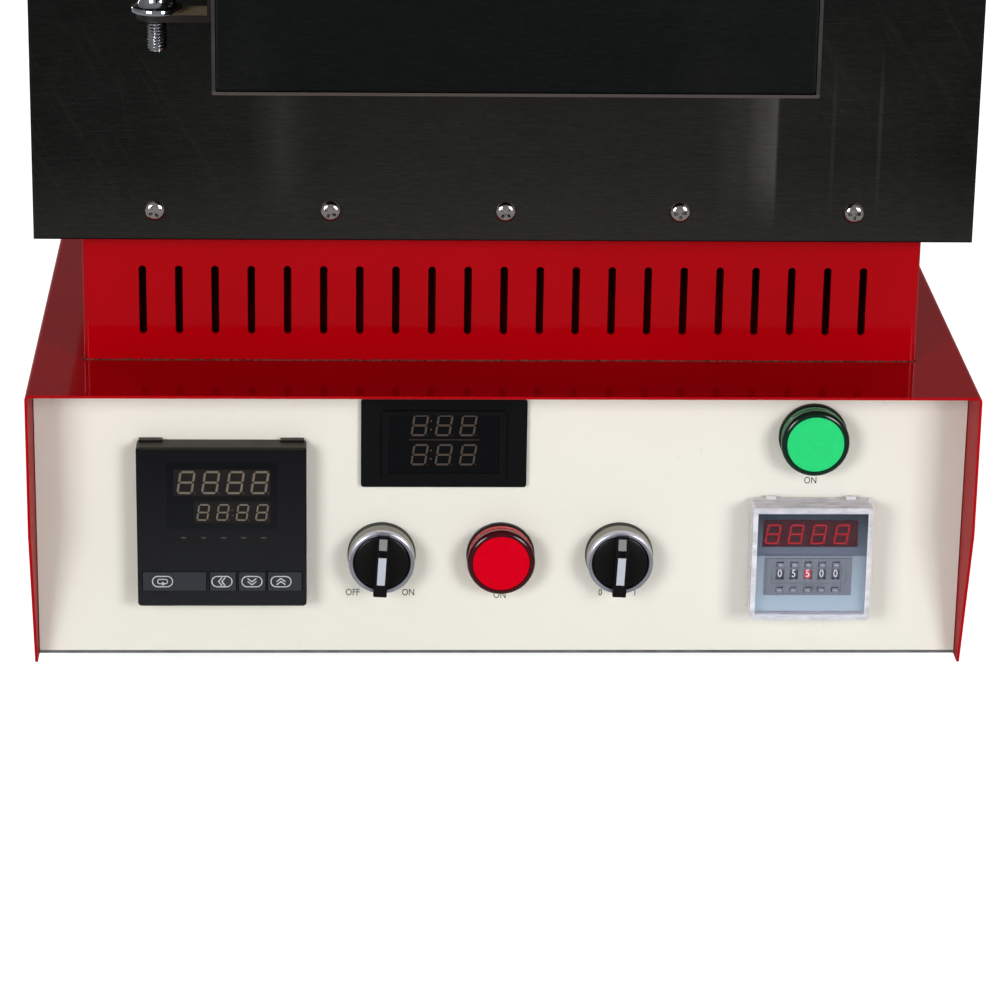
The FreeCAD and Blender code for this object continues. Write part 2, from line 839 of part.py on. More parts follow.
def door_lugs():
    """Two angle lugs on the left side of the door, bent up from the flat leg that holds the pin."""
    lugs = []
    outer_x = -door_half
    inner_x = outer_x - lug_thickness
    for z in lug_levels:
        y0 = pin_y - lug_half_width
        y1 = pin_y + lug_half_width
        flat = box(pin_x, outer_x, y0, y1, z, z + lug_thickness)
        nose = rod(pin_x, pin_y, z, (0, 0, 1), lug_half_width, lug_thickness)
        leg = box(inner_x, outer_x, y0, y1, z, z + lug_leg_height)
        lug = flat.fuse([nose, leg]).removeSplitter()
        lug = round_edges(lug, lug_thickness,
                          lambda edge: (runs_along(edge, (0, 1, 0)) and edge.CenterOfMass.z < z + 0.01
                                        and edge.CenterOfMass.x > inner_x + 1))
        bore = rod(pin_x, pin_y, z - 1, (0, 0, 1), pin_radius + running_gap, lug_thickness + 2)
        lugs.append(lug.cut(bore))
    return Part.makeCompound(lugs)


def hinge_pins():
    pins = []
    for level in lug_levels:
        foot = level - pin_thread_length
        seat = bracket_level(level) + lug_thickness + axial_gap
        shank = rod(pin_x, pin_y, foot, (0, 0, 1), pin_radius, seat - foot)
        shank = shank.makeChamfer(pin_tip_chamfer, [edge for edge in shank.Edges
                                                if edge.CenterOfMass.z < foot + 0.01])
        head = hexagon(pin_x, pin_y, seat, (0, 0, 1), nut_flats, head_height)
        pins.append(shank.fuse(head))
    return Part.makeCompound(pins)


def door_fasteners():
    """Washers and nuts on the hinge pins, the lug screws and the latch's shoulder bolt."""
    pieces = []
    for level in lug_levels:
        seat = level + lug_thickness
        hole = rod(pin_x, pin_y, seat - 1, (0, 0, 1), pin_radius + running_gap, nut_height + 10)
        washer = rod(pin_x, pin_y, seat, (0, 0, 1), washer_radius, washer_thickness)
        pieces.append(washer.cut(hole))
        nut = hexagon(pin_x, pin_y, seat + washer_thickness, (0, 0, 1), nut_flats, nut_height)
        pieces.append(nut.cut(hole))
        for rise in lug_screw_rises:
            pieces.append(sided_rod(-door_half - lug_thickness, pin_y, level + rise, (-1, 0, 0),
                                    screw_head_sides, lug_screw_radius, lug_screw_height))
    boss = rod(door_half, latch_y, latch_z, (1, 0, 0), latch_boss_radius, latch_boss_length)
    shank_end = lever_outer_x + latch_side_gap
    shank = rod(door_half, latch_y, latch_z, (1, 0, 0), latch_pin_radius, shank_end - door_half)
    head = rod(shank_end, latch_y, latch_z, (1, 0, 0), latch_head_radius, latch_head_height)
    pieces.append(boss.fuse([shank, head]))
    return Part.makeCompound(pieces)


def released(shape):
    """Turns a latch piece, drawn hooked on, to where it hangs free of its keeper."""
    return shape.rotate(Vector(0, latch_y, latch_z), Vector(1, 0, 0), -latch_release_angle)


def latch_lever():
    slot_front = keeper_reach - keeper_slot_half
    slot_rear = keeper_reach + keeper_slot_half
    tip = slot_rear + latch_lip
    corner = latch_tip_corner
    outline = [(-latch_arm_reach, -latch_arm_end_half), (-latch_boss_radius, -latch_belly),
               (tip - corner, -latch_belly), (tip, -latch_belly + corner), (tip, latch_lip_rise),
               (-latch_boss_radius, latch_lip_rise + corner), (-latch_arm_reach, latch_arm_end_half)]
    corners = [(latch_y + y, latch_z + z) for y, z in outline]
    bar = prism_x(corners, lever_inner_x, lever_outer_x)
    slot = box(lever_inner_x - 1, lever_outer_x + 1, latch_y + slot_front, latch_y + slot_rear,
               latch_z, latch_z + 30)
    slot_floor = rod(lever_inner_x - 1, keeper_y, latch_z, (1, 0, 0), keeper_slot_half, latch_thickness + 2)
    bore = rod(lever_inner_x - 1, latch_y, latch_z, (1, 0, 0), latch_pin_radius + running_gap, latch_thickness + 2)
    stem = rod((lever_inner_x + lever_outer_x) / 2, latch_y - latch_arm_reach - latch_stem_length, latch_z,
               (0, 1, 0), latch_stem_radius, latch_stem_length + 1)
    bar = bar.cut([slot, slot_floor, bore]).fuse(stem)
    return released(bar)


def latch_knob():
    """A barrel-shaped knob that is screwed on the lever's stem."""
    x = (lever_inner_x + lever_outer_x) / 2
    rear = latch_y - latch_arm_reach
    tip = rear - knob_length
    profile = [(0, tip), (knob_radius - knob_tip_chamfer, tip), (knob_radius, tip + knob_tip_chamfer),
               (knob_neck_radius, rear), (0, rear)]
    stem_hole = rod(x, rear - latch_stem_length, latch_z, (0, 1, 0), latch_stem_radius, latch_stem_length + 1)
    return released(turned_about_y(x, latch_z, profile).cut(stem_hole))


def latch_keeper():
    arm_x = lever_outer_x + keeper_arm_gap
    plate = box(arm_x, arm_x + keeper_plate_width, plate_front - keeper_plate_thickness, plate_front,
                latch_z - keeper_plate_height / 2, latch_z + keeper_plate_height / 2)
    plate = round_edges(plate, keeper_plate_corner,
                        lambda edge: runs_along(edge, (0, 1, 0)) and edge.CenterOfMass.x > arm_x + 5)
    arm = box(arm_x, arm_x + keeper_plate_thickness, keeper_y - keeper_radius - keeper_arm_end_margin, plate_front,
              latch_z - keeper_arm_height / 2, latch_z + keeper_arm_height / 2)
    stud_x = lever_inner_x - latch_side_gap
    stud = rod(stud_x, keeper_y, latch_z, (1, 0, 0), keeper_radius, arm_x + 1 - stud_x)
    return plate.fuse([arm, stud]).removeSplitter()


def door_shell():
    outer = box(-door_half, door_half, door_front, door_rear, door_bottom, door_top)
    outer = round_edges(outer, bend_radius, lambda edge: edge.CenterOfMass.y < door_rear - 1)
    inner = box(-door_half + sheet, door_half - sheet, door_front + sheet, door_rear - sheet,
                door_bottom + sheet, door_top - sheet)
    opening = box(-door_half + door_lip, door_half - door_lip, door_front + 10, door_rear + 1,
                  door_bottom + door_lip, door_top - door_lip)
    return outer.cut([inner, opening])


def door_insulation():
    """Fibre block that fills the door, with a raised seal face and a tapered plug for the mouth."""
    filling = box(-door_half + sheet, door_half - sheet, door_front + sheet, door_rear - sheet,
                  door_bottom + sheet, door_top - sheet)
    seal = box(-door_half + door_lip, door_half - door_lip, door_rear - 2 * sheet, seal_y,
               door_bottom + door_lip, door_top - door_lip)
    half_x = chamber_width / 2 - plug_side_gap
    half_z = chamber_height / 2 - plug_side_gap
    base = Part.makePolygon([Vector(x, seal_y, chamber_z + z) for x, z in
                             ((-half_x, -half_z), (half_x, -half_z), (half_x, half_z), (-half_x, half_z),
                              (-half_x, -half_z))])
    tip_x = half_x - plug_taper
    tip_z = half_z - plug_taper
    tip = Part.makePolygon([Vector(x, seal_y + plug_depth, chamber_z + z) for x, z in
                            ((-tip_x, -tip_z), (tip_x, -tip_z), (tip_x, tip_z), (-tip_x, tip_z),
                             (-tip_x, -tip_z))])
    plug = Part.makeLoft([base, tip], True, True)
    return filling.fuse([seal, plug]).removeSplitter()


def controller_case():
    half = controller_size / 2
    bezel = box(controller_x - half, controller_x + half, -controller_proud, 0,
                controller_z - half, controller_z + half)
    bezel = round_edges(bezel, controller_corner, lambda edge: runs_along(edge, (0, 1, 0)))
    bezel = bezel.makeChamfer(controller_rim_chamfer, [edge for edge in bezel.Edges
                                                       if edge.CenterOfMass.y < -controller_proud + 0.01])
    body_half = controller_body / 2
    body = box(controller_x - body_half, controller_x + body_half, 0, controller_depth,
               controller_z - body_half, controller_z + body_half)
    tabs = []
    for side in (-1, 1):
        outer_x = half - controller_tab_inset
        x0, x1 = sorted((controller_x + side * outer_x, controller_x + side * (outer_x - controller_tab_width)))
        tabs.append(box(x0, x1, -controller_tab_depth, 0, controller_z + half - 1,
                        controller_z + half + controller_tab_rise))
    case = bezel.fuse([body] + tabs)
    left = controller_x - half
    row_z = controller_z - half + key_row_bottom
    cuts = []
    for x0, x1 in key_edges:
        cuts.append(box(left + x0 - key_side_gap, left + x1 + key_side_gap, -controller_proud - 1,
                        -controller_proud + key_thickness - key_proud + key_floor_gap,
                        row_z - key_side_gap, row_z + key_row_height + key_side_gap))
    cuts.append(controller_window_block(0.0))
    return case.cut(cuts)


def controller_window_block(shrink):
    x0 = controller_x - controller_size / 2 + controller_window_left
    z1 = controller_z + controller_size / 2 - controller_window_drop
    return box(x0 + shrink, x0 + controller_window_width - shrink,
               -controller_proud - 1, -controller_proud + window_thickness,
               z1 - controller_window_height + shrink, z1 - shrink)


def meter_window_block(shrink):
    half_x = meter_frame_width / 2 - meter_window_side_margin - shrink
    half_z = meter_frame_height / 2 - meter_window_end_margin - shrink
    front = -meter_proud - meter_frame_proud
    return box(meter_x - half_x, meter_x + half_x, front - 1, front + meter_window_sink + window_thickness,
               meter_z - half_z, meter_z + half_z)


def timer_window_block(shrink):
    return box(timer_x + timer_window_x0 + shrink, timer_x + timer_window_x1 - shrink,
               -timer_proud - 1, -timer_proud + window_thickness,
               timer_z + timer_window_z0 + shrink, timer_z + timer_window_z1 - shrink)


def display_windows():
    """The three dark display windows, each set flush in its instrument."""
    windows = []
    for block, front in ((controller_window_block(window_gap), -controller_proud),
                         (timer_window_block(window_gap), -timer_proud),
                         (meter_window_block(window_gap), -meter_proud - meter_frame_proud + meter_window_sink)):
        windows.append(block.common(box(-base_width, base_width, front, 0, 0, cover_top)))
    return Part.makeCompound(windows)


def key_block(index):
    x0, x1 = key_edges[index]
    left = controller_x - controller_size / 2
    row_z = controller_z - controller_size / 2 + key_row_bottom
    front = -controller_proud - key_proud
    return box(left + x0, left + x1, front, front + key_thickness, row_z, row_z + key_row_height)


def meter_case():
    half_x = meter_width / 2
    half_z = meter_height / 2
    bezel = rounded_block(meter_x - half_x, meter_x + half_x, -meter_proud, 0,
                          meter_z - half_z, meter_z + half_z, meter_corner, (0, 1, 0))
    frame = rounded_block(meter_x - meter_frame_width / 2, meter_x + meter_frame_width / 2,
                          -meter_proud - meter_frame_proud, 0,
                          meter_z - meter_frame_height / 2, meter_z + meter_frame_height / 2,
                          meter_frame_corner, (0, 1, 0))
    margin = meter_body_margin
    body = box(meter_x - half_x + margin, meter_x + half_x - margin, 0, meter_body_depth,
               meter_z - half_z + margin, meter_z + half_z - margin)
    return bezel.fuse([frame, body]).cut(meter_window_block(0.0))


def wheel_x(index):
    return timer_x + wheel_first_x + index * wheel_pitch


def button_hole(index, above):
    rise = button_rise if above else -button_drop
    z = timer_z + wheel_z + rise
    x = wheel_x(index)
    half_x = button_width / 2 + button_gap
    half_z = button_height / 2 + button_gap
    front = -timer_proud - module_proud
    return box(x - half_x, x + half_x, front - 1, front + button_pocket_depth, z - half_z, z + half_z)


def timer_case():
    half = timer_width / 2
    bezel = rounded_block(timer_x - half, timer_x + half, -timer_proud, 0, timer_bottom, timer_top,
                          timer_corner, (0, 1, 0))
    body_half = timer_body / 2
    body = box(timer_x - body_half, timer_x + body_half, 0, timer_depth, timer_z - body_half, timer_z + body_half)
    module = box(timer_x + module_x0, timer_x + module_x1, -timer_proud - module_proud, -timer_proud,
                 timer_z + module_z0, timer_z + module_z1)
    ears = []
    bores = []
    for side in (-1, 1):
        x0 = timer_x + side * cover_ear_offset - cover_ear_width / 2
        ear = rod(x0, cover_hinge_y, cover_hinge_z, (1, 0, 0), cover_ear_radius, cover_ear_width)
        root = box(x0, x0 + cover_ear_width, cover_hinge_y - cover_ear_radius, cover_hinge_y + cover_ear_radius,
                   timer_top - 0.5, cover_hinge_z)
        ears.extend([ear, root])
        bores.append(rod(x0 - 1, cover_hinge_y, cover_hinge_z, (1, 0, 0),
                         cover_rod_radius + running_gap, cover_ear_width + 2))
    case = bezel.fuse([body, module] + ears).removeSplitter()
    cuts = bores + [timer_window_block(0.0)]
    axle_z = timer_z + wheel_z
    for index in range(wheel_count):
        x = wheel_x(index)
        pocket_half = wheel_width / 2 + wheel_pocket_gap
        cuts.append(sided_rod(x - pocket_half, wheel_axle_y, axle_z, (1, 0, 0), pocket_sides,
                              (wheel_radius + wheel_pocket_gap) / math.cos(math.pi / pocket_sides),
                              2 * pocket_half))
        cuts.append(box(x - digit_window_width / 2, x + digit_window_width / 2, -timer_proud - module_proud - 1,
                        wheel_axle_y - wheel_radius / 2, axle_z - digit_window_height / 2,
                        axle_z + digit_window_height / 2))
        cuts.append(button_hole(index, True))
        cuts.append(button_hole(index, False))
    case = case.cut(cuts)
    axle_half = wheel_pitch * wheel_count / 2
    axle_x = wheel_x((wheel_count - 1) / 2) - axle_half
    axle = sided_rod(axle_x, wheel_axle_y, axle_z, (1, 0, 0), axle_sides, wheel_axle_radius, 2 * axle_half)
    return case.fuse(axle)


def digit_wheel(index):
    """A drum with ten flats, one for each digit; one flat faces the window."""
    x = wheel_x(index) - wheel_width / 2
    z = timer_z + wheel_z
    drum = sided_rod(x, wheel_axle_y, z, (1, 0, 0), wheel_flats, wheel_radius, wheel_width)
    drum.rotate(Vector(x, wheel_axle_y, z), Vector(1, 0, 0), 180 / wheel_flats)
    bore = rod(x - 1, wheel_axle_y, z, (1, 0, 0), wheel_axle_radius + running_gap, wheel_width + 2)
    return drum.cut(bore)


def wheel_button(index, above):
    rise = button_rise if above else -button_drop
    z = timer_z + wheel_z + rise
    x = wheel_x(index)
    front = -timer_proud - module_proud - button_proud
    return box(x - button_width / 2, x + button_width / 2, front, front + button_length,
               z - button_height / 2, z + button_height / 2)


def timer_cover():
    """A clear box lid over the timer, with a rod along its top rear edge that turns in two ears."""
    inner_half = timer_width / 2 + cover_clearance
    outer_half = inner_half + cover_wall
    top = cover_hinge_z + cover_rod_radius
    inner_top = top - cover_wall
    inner_bottom = timer_bottom - cover_bottom_clearance
    outer = box(timer_x - outer_half, timer_x + outer_half, cover_front, cover_back,
                inner_bottom - cover_wall, top)
    outer = round_edges(outer, cover_corner, lambda edge: runs_along(edge, (0, 1, 0)))
    inner = box(timer_x - inner_half, timer_x + inner_half, cover_front + cover_wall, cover_back + 1,
                inner_bottom, inner_top)
    rear_trim = box(timer_x - outer_half - 1, timer_x + outer_half + 1, cover_hinge_y, cover_back + 1,
                    inner_top - 1, top + 1)
    notches = []
    for side in (-1, 1):
        x = timer_x + side * cover_ear_offset
        half = cover_ear_width / 2 + cover_ear_gap
        notches.append(box(x - half, x + half, cover_hinge_y - cover_ear_radius - cover_notch_gap, cover_back + 1,
                           inner_top - 1, top + 1))
    shell = outer.cut([inner, rear_trim] + notches)
    hinge_rod = rod(timer_x - outer_half, cover_hinge_y, cover_hinge_z, (1, 0, 0), cover_rod_radius, 2 * outer_half)
    return shell.fuse(hinge_rod)


def lamp_bodies():
    bodies = []
    for x, z in lamp_places():
        profile = [(0, -lamp_flange_height), (lamp_flange_radius, -lamp_flange_height), (lamp_flange_radius, 0),
                   (barrel_radius, 0), (barrel_radius, barrel_length), (0, barrel_length)]
        bodies.append(turned_about_y(x, z, profile))
    return Part.makeCompound(bodies)


def lamp_lens(x, z):
    """A cap lens whose flat front disc is wider than its foot."""
    back = -lamp_flange_height
    front = -lamp_proud
    waist_y = front + lens_disc_height
    return turned_about_y(x, z, [(0, front), (lens_disc_radius, front), (lens_disc_radius, waist_y),
                                 (lens_waist_radius, waist_y), (lens_waist_radius, back), (0, back)])


def switch_bodies():
    """Selector switch bodies: a bright bezel round the knob and the barrel behind the panel."""
    bodies = []
    inner = knob_disc_radius + knob_disc_gap
    for x, z in switch_places():
        profile = [(0, -switch_floor), (inner, -switch_floor), (inner, -switch_proud),
                   (switch_bezel_radius - switch_rim_chamfer, -switch_proud),
                   (switch_bezel_radius, -switch_proud + switch_rim_chamfer), (switch_bezel_radius, 0),
                   (barrel_radius, 0), (barrel_radius, barrel_length), (0, barrel_length)]
        body = turned_about_y(x, z, profile)
        bore = rod(x, -switch_floor - 1, z, (0, 1, 0), knob_shaft_radius + running_gap,
                   switch_floor + 1 + knob_shaft_length + knob_end_gap)
        bodies.append(body.cut(bore))
    return Part.makeCompound(bodies)


def selector_knob(x, z):
    """A round disc with a tapered lever across it and a shaft that turns in the switch body."""
    disc_front = -switch_proud + knob_disc_sink
    disc_back = -switch_floor - knob_end_gap
    disc = rod(x, disc_front, z, (0, 1, 0), knob_disc_radius, disc_back - disc_front)
    shaft = rod(x, disc_back, z, (0, 1, 0), knob_shaft_radius, knob_shaft_length - disc_back)
    root = disc_front + knob_root_sink
    foot_y = -switch_proud - knob_lever_foot_gap
    half = knob_lever_length / 2
    top = half - knob_lever_top_step
    foot = -half + knob_lever_foot_length
    chamfer = knob_lever_foot_chamfer
    side_view = [(root, top), (disc_front - knob_lever_shoulder, top), (-knob_proud, top - knob_lever_top_slope),
                 (-knob_proud, -half + chamfer), (-knob_proud + chamfer, -half), (foot_y, -half),
                 (foot_y, foot), (root, foot)]
    corners = [(y, z + rise) for y, rise in side_view]
    half_width = knob_lever_width / 2
    lever = prism_x(corners, x - half_width, x + half_width)
    wedge = [(x - knob_lever_width, -knob_proud - 1), (x - half_width + knob_lever_taper, -knob_proud - 1),
             (x - half_width, disc_front), (x - knob_lever_width, disc_front)]
    taper_left = prism([Vector(px, py, z - half - 1) for px, py in wedge], Vector(0, 0, 2 * half + 2))
    taper_right = taper_left.mirror(Vector(x, 0, 0), Vector(1, 0, 0))
    lever = lever.cut([taper_left, taper_right])
    return disc.fuse([shaft, lever]).removeSplitter()


def contact_blocks():
    """Ring nuts and contact blocks behind the lamps and switches, and the mains terminal strip."""
    pieces = []
    half = contact_block_size / 2
    for x, z in lamp_places() + switch_places():
        nut = hexagon(x, thick_sheet, z, (0, 1, 0), ring_nut_flats, ring_nut_height)
        nut = nut.cut(rod(x, 0, z, (0, 1, 0), barrel_radius + running_gap, 20))
        block = box(x - half, x + half, barrel_length, barrel_length + contact_block_depth, z - half, z + half)
        pieces.extend([nut, block])
    strip_length = terminal_ways * terminal_pitch
    x0 = terminal_x
    y1 = base_rear - terminal_rear_margin
    y0 = y1 - terminal_depth
    strip = box(x0, x0 + strip_length, y0, y1, pan_top, pan_top + terminal_height)
    troughs = []
    for way in range(terminal_ways):
        left = x0 + way * terminal_pitch + terminal_wall
        right = left + terminal_pitch - 2 * terminal_wall
        floor = pan_top + terminal_trough_rise
        ceiling = pan_top + terminal_height + 1
        troughs.append(box(left, right, y0 - 1, y0 + terminal_trough_depth, floor, ceiling))
        troughs.append(box(left, right, y1 - terminal_trough_depth, y1 + 1, floor, ceiling))
    pieces.append(strip.cut(troughs))
    return Part.makeCompound(pieces)


def relay_heatsink():
    """A finned heatsink on the floor of the base, with the solid state relay on top of it."""
    x0 = heatsink_x
    y0 = heatsink_y
    base = box(x0, x0 + heatsink_length, y0, y0 + heatsink_width, pan_top + heatsink_fin_height,
               pan_top + heatsink_fin_height + heatsink_base)
    fins = []
    step = (heatsink_width - heatsink_fin_thickness) / (heatsink_fin_count - 1)
    for index in range(heatsink_fin_count):
        y = y0 + index * step
        fins.append(box(x0, x0 + heatsink_length, y, y + heatsink_fin_thickness,
                        pan_top, pan_top + heatsink_fin_height))
    sink = base.fuse(fins).removeSplitter()
    relay_x = x0 + (heatsink_length - relay_length) / 2
    relay_y = y0 + (heatsink_width - relay_width) / 2
    seat = pan_top + heatsink_fin_height + heatsink_base
    relay = rounded_block(relay_x, relay_x + relay_length, relay_y, relay_y + relay_width,
                          seat, seat + relay_height, relay_corner, (0, 0, 1))
    return Part.makeCompound([sink, relay])


def cable_gland():
    inner_face = rear_panel_face - sheet
    thread = rod(gland_x, inner_face - gland_inner_length, gland_z, (0, 1, 0), gland_thread_radius,
                 gland_inner_length + sheet)
    collar = hexagon(gland_x, rear_panel_face, gland_z, (0, 1, 0), gland_flats, gland_collar_length)
    dome_start = rear_panel_face + gland_collar_length
    dome_end = rear_panel_face + gland_outer_length
    dome = turned_about_y(gland_x, gland_z, [(0, dome_start), (gland_dome_radius, dome_start),
                                             (gland_dome_radius, dome_end - gland_dome_slope),
                                             (gland_mouth_radius, dome_end), (0, dome_end)])
    bore = rod(gland_x, inner_face - gland_inner_length - 1, gland_z, (0, 1, 0), gland_bore_radius, gland_bore_length)
    locknut = hexagon(gland_x, inner_face - locknut_length, gland_z, (0, 1, 0), gland_flats, locknut_length)
    locknut = locknut.cut(rod(gland_x, inner_face - locknut_length - 1, gland_z, (0, 1, 0),
                              gland_thread_radius + running_gap, locknut_length + 2))
    gland = thread.fuse([collar, dome]).cut(bore)
    return Part.makeCompound([gland, locknut])


def furnace_pieces():
    pieces = {
        "base_cover": base_cover(),
        "base_pan": base_pan(),
        "control_panel": control_panel(),
        "base_rear_panel": base_rear_panel(),
        "rubber_feet": rubber_feet(),
        "plinth": plinth(),
        "upper_casing": upper_casing(),
        "front_plate": front_plate(),
        "casing_rear_panel": casing_rear_panel(),
        "fibre_insulation": fibre_insulation(),
        "muffle": muffle(),
        "heating_elements": heating_elements(),
        "hearth_plate": hearth_plate(),
        "thermocouple": thermocouple(),
        "vent_tube": vent_tube(),
        "front_plate_screws": front_plate_screws(),
        "cabinet_screws": cabinet_screws(),
        "hinge_brackets": hinge_brackets(),
        "latch_keeper": latch_keeper(),
        "controller_case": controller_case(),
        "display_windows": display_windows(),
        "meter_case": meter_case(),
        "timer_case": timer_case(),
        "lamp_bodies": lamp_bodies(),
        "power_lamp_lens": lamp_lens(power_lamp_x, power_lamp_z),
        "heating_lamp_lens": lamp_lens(heating_lamp_x, control_row_z),
        "switch_bodies": switch_bodies(),
        "contact_blocks": contact_blocks(),
        "relay_heatsink": relay_heatsink(),
        "cable_gland": cable_gland(),
        "door_shell": door_shell(),
        "door_insulation": door_insulation(),
        "door_lugs": door_lugs(),
        "hinge_pins": hinge_pins(),
        "door_fasteners": door_fasteners(),
        "latch_lever": latch_lever(),
        "latch_knob": latch_knob(),
        "heating_switch_knob": selector_knob(-switch_offset, control_row_z),
        "timing_switch_knob": selector_knob(switch_offset, control_row_z),
        "timer_cover": timer_cover(),
        "vent_damper": vent_damper(),
    }
    for index, name in enumerate(key_names):
        pieces[name] = key_block(index)
    for index in range(wheel_count):
        pieces["digit_wheel_%d" % (index + 1)] = digit_wheel(index)
        pieces["plus_button_%d" % (index + 1)] = wheel_button(index, True)
        pieces["minus_button_%d" % (index + 1)] = wheel_button(index, False)
    return pieces


def centred(pieces):
    """Moves all the pieces along Y together, so that the origin is under the middle of the furnace."""
    whole = Part.makeCompound(list(pieces.values())).optimalBoundingBox(False)
    shift = Vector(0, -(whole.YMin + whole.YMax) / 2, 0)
    for shape in pieces.values():
        shape.translate(shift)
    return shift.y


pieces = furnace_pieces()
origin_shift = centred(pieces)
os.makedirs("parts", exist_ok=True)
for name, shape in pieces.items():
    shape.exportStep("parts/%s.step" % name)
print("pieces", len(pieces), "moved along Y by", round(origin_shift, 4))
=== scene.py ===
import math
import random

import bmesh
import bpy
from mathutils import Matrix, Vector


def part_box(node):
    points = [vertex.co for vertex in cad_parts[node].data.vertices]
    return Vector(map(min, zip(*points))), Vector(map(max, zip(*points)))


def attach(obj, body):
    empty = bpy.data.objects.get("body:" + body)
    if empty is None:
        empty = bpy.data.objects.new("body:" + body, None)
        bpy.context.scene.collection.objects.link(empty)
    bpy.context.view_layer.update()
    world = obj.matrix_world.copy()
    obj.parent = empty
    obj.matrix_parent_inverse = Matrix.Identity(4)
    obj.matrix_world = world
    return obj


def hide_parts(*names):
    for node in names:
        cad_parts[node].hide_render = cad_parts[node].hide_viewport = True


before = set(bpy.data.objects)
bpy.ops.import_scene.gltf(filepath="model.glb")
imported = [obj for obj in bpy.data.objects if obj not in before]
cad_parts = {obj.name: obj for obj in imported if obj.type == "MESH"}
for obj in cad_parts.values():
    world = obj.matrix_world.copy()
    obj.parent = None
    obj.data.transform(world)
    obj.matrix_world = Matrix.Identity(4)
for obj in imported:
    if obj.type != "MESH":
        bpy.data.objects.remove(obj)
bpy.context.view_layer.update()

# Lengths are written in millimetres and multiplied by MM
MM = 0.001

# The camera that took the photograph, measured from the control panel's face
PHOTO_PIXELS = 1000
FOCAL_PIXELS = 3985.8
SENSOR_WIDTH = 36.0
CAMERA_PLACE = (-70.1, -1598.2, 677.7)
CAMERA_PITCH = 20.364
CAMERA_YAW = 2.493
CAMERA_ROLL = 0.941

# Lamps to the left and right, in metres: name, place, height aimed at, and power
LAMPS = (("front_softbox", (1.5, -2.4, 0.85), 0.2, 36), ("rear_softbox", (1.9, 2.2, 0.7), 0.3, 30))
LAMP_SIZE = 1.0

# How bright the surroundings are as light, and mirrored from in front of and behind the furnace
WORLD_LIGHT = 0.2
FRONT_MIRRORED = 0.25
REAR_MIRRORED = 0.16
FLOOR_COLOUR = (0.86, 0.86, 0.86, 1)
FLOOR_SHOWN = 0.78
FLOOR_MIRRORED = 0.32
FLOOR_SIZE = 12.0

# Thickness of a print, and of a symbol that lies on a face
PRINT = 0.05 * MM

PANEL_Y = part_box("control_panel")[0][1]
TOWARD_VIEWER = (0, -1, 0)


def linear(colour):
    """Red, green and blue from 0 to 255 as linear RGBA; linear RGBA stays as it is."""
    if len(colour) == 4:
        return colour
    shares = [value / 255 for value in colour]
    return tuple(share / 12.92 if share <= 0.04045 else ((share + 0.055) / 1.055) ** 2.4
                 for share in shares) + (1.0,)


def middle_of(node):
    low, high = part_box(node)
    return (low + high) / 2


def islands(node):
    """The lowest and highest corner of each separate solid in a CAD node, from low x to high x."""
    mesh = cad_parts[node].data
    places = [tuple(round(value, 6) for value in vertex.co) for vertex in mesh.vertices]
    parent = {place: place for place in places}

    def root(place):
        while parent[place] != place:
            parent[place] = parent[parent[place]]
            place = parent[place]
        return place

    for edge in mesh.edges:
        parent[root(places[edge.vertices[0]])] = root(places[edge.vertices[1]])
    groups = {}
    for place in set(places):
        groups.setdefault(root(place), []).append(place)
    boxes = [(Vector([min(axis) for axis in zip(*group)]), Vector([max(axis) for axis in zip(*group)]))
             for group in groups.values()]
    return sorted(boxes, key=lambda pair: (pair[0].x, pair[0].z))


# Material helpers; an owner is a material or the world


def add_node(owner, kind):
    return owner.node_tree.nodes.new("ShaderNode" + kind)


def link(owner, value, socket):
    """Gives a socket a number, or the value of another socket."""
    if isinstance(value, (int, float)):
        socket.default_value = value
    else:
        owner.node_tree.links.new(value, socket)


def shader_of(material):
    return material.node_tree.nodes["Principled BSDF"]


def set_input(material, name, socket):
    link(material, socket, shader_of(material).inputs[name])


def plain_material(name, colour, roughness, metallic=0.0, specular=0.2):
    material = bpy.data.materials.new(name)
    material.use_nodes = True
    material.diffuse_color = linear(colour)
    shader_of(material).inputs["Base Color"].default_value = linear(colour)
    set_input(material, "Roughness", roughness)
    set_input(material, "Metallic", metallic)
    set_input(material, "Specular IOR Level", specular)
    return material


def parts_of(owner, vector):
    """The X, Y and Z of a vector socket."""
    split = add_node(owner, "SeparateXYZ")
    link(owner, vector, split.inputs["Vector"])
    return split.outputs


def object_place(material):
    return parts_of(material, add_node(material, "TexCoord").outputs["Object"])


def surface_normal(material):
    return parts_of(material, add_node(material, "NewGeometry").outputs["True Normal"])


def noise(material, scale, stretch=(1, 1, 1), detail=2.0, rough=0.5, lean=None):
    """Noise on the object's own coordinates; with a lean in degrees, drawn out along a leaning line."""
    mapping = add_node(material, "Mapping")
    mapping.inputs["Scale"].default_value = stretch
    if lean is not None:
        mapping.vector_type = "TEXTURE"
        mapping.inputs["Rotation"].default_value = (0, math.radians(lean), 0)
    texture = add_node(material, "TexNoise")
    for name, value in (("Scale", scale), ("Detail", detail), ("Roughness", rough)):
        link(material, value, texture.inputs[name])
    link(material, add_node(material, "TexCoord").outputs["Object"], mapping.inputs["Vector"])
    link(material, mapping.outputs["Vector"], texture.inputs["Vector"])
    return texture.outputs["Fac"]


def remapped(owner, value, low, high, to_low=0.0, to_high=1.0):
    step = add_node(owner, "MapRange")
    names = ("Value", "From Min", "From Max", "To Min", "To Max")
    for name, entry in zip(names, (value, low, high, to_low, to_high)):
        link(owner, entry, step.inputs[name])
    return step.outputs["Result"]


def clouds(material, scale, to_low=0.0, to_high=1.0, **shape):
    """Noise spread out between two values."""
    return remapped(material, noise(material, scale, **shape), 0.3, 0.7, to_low, to_high)


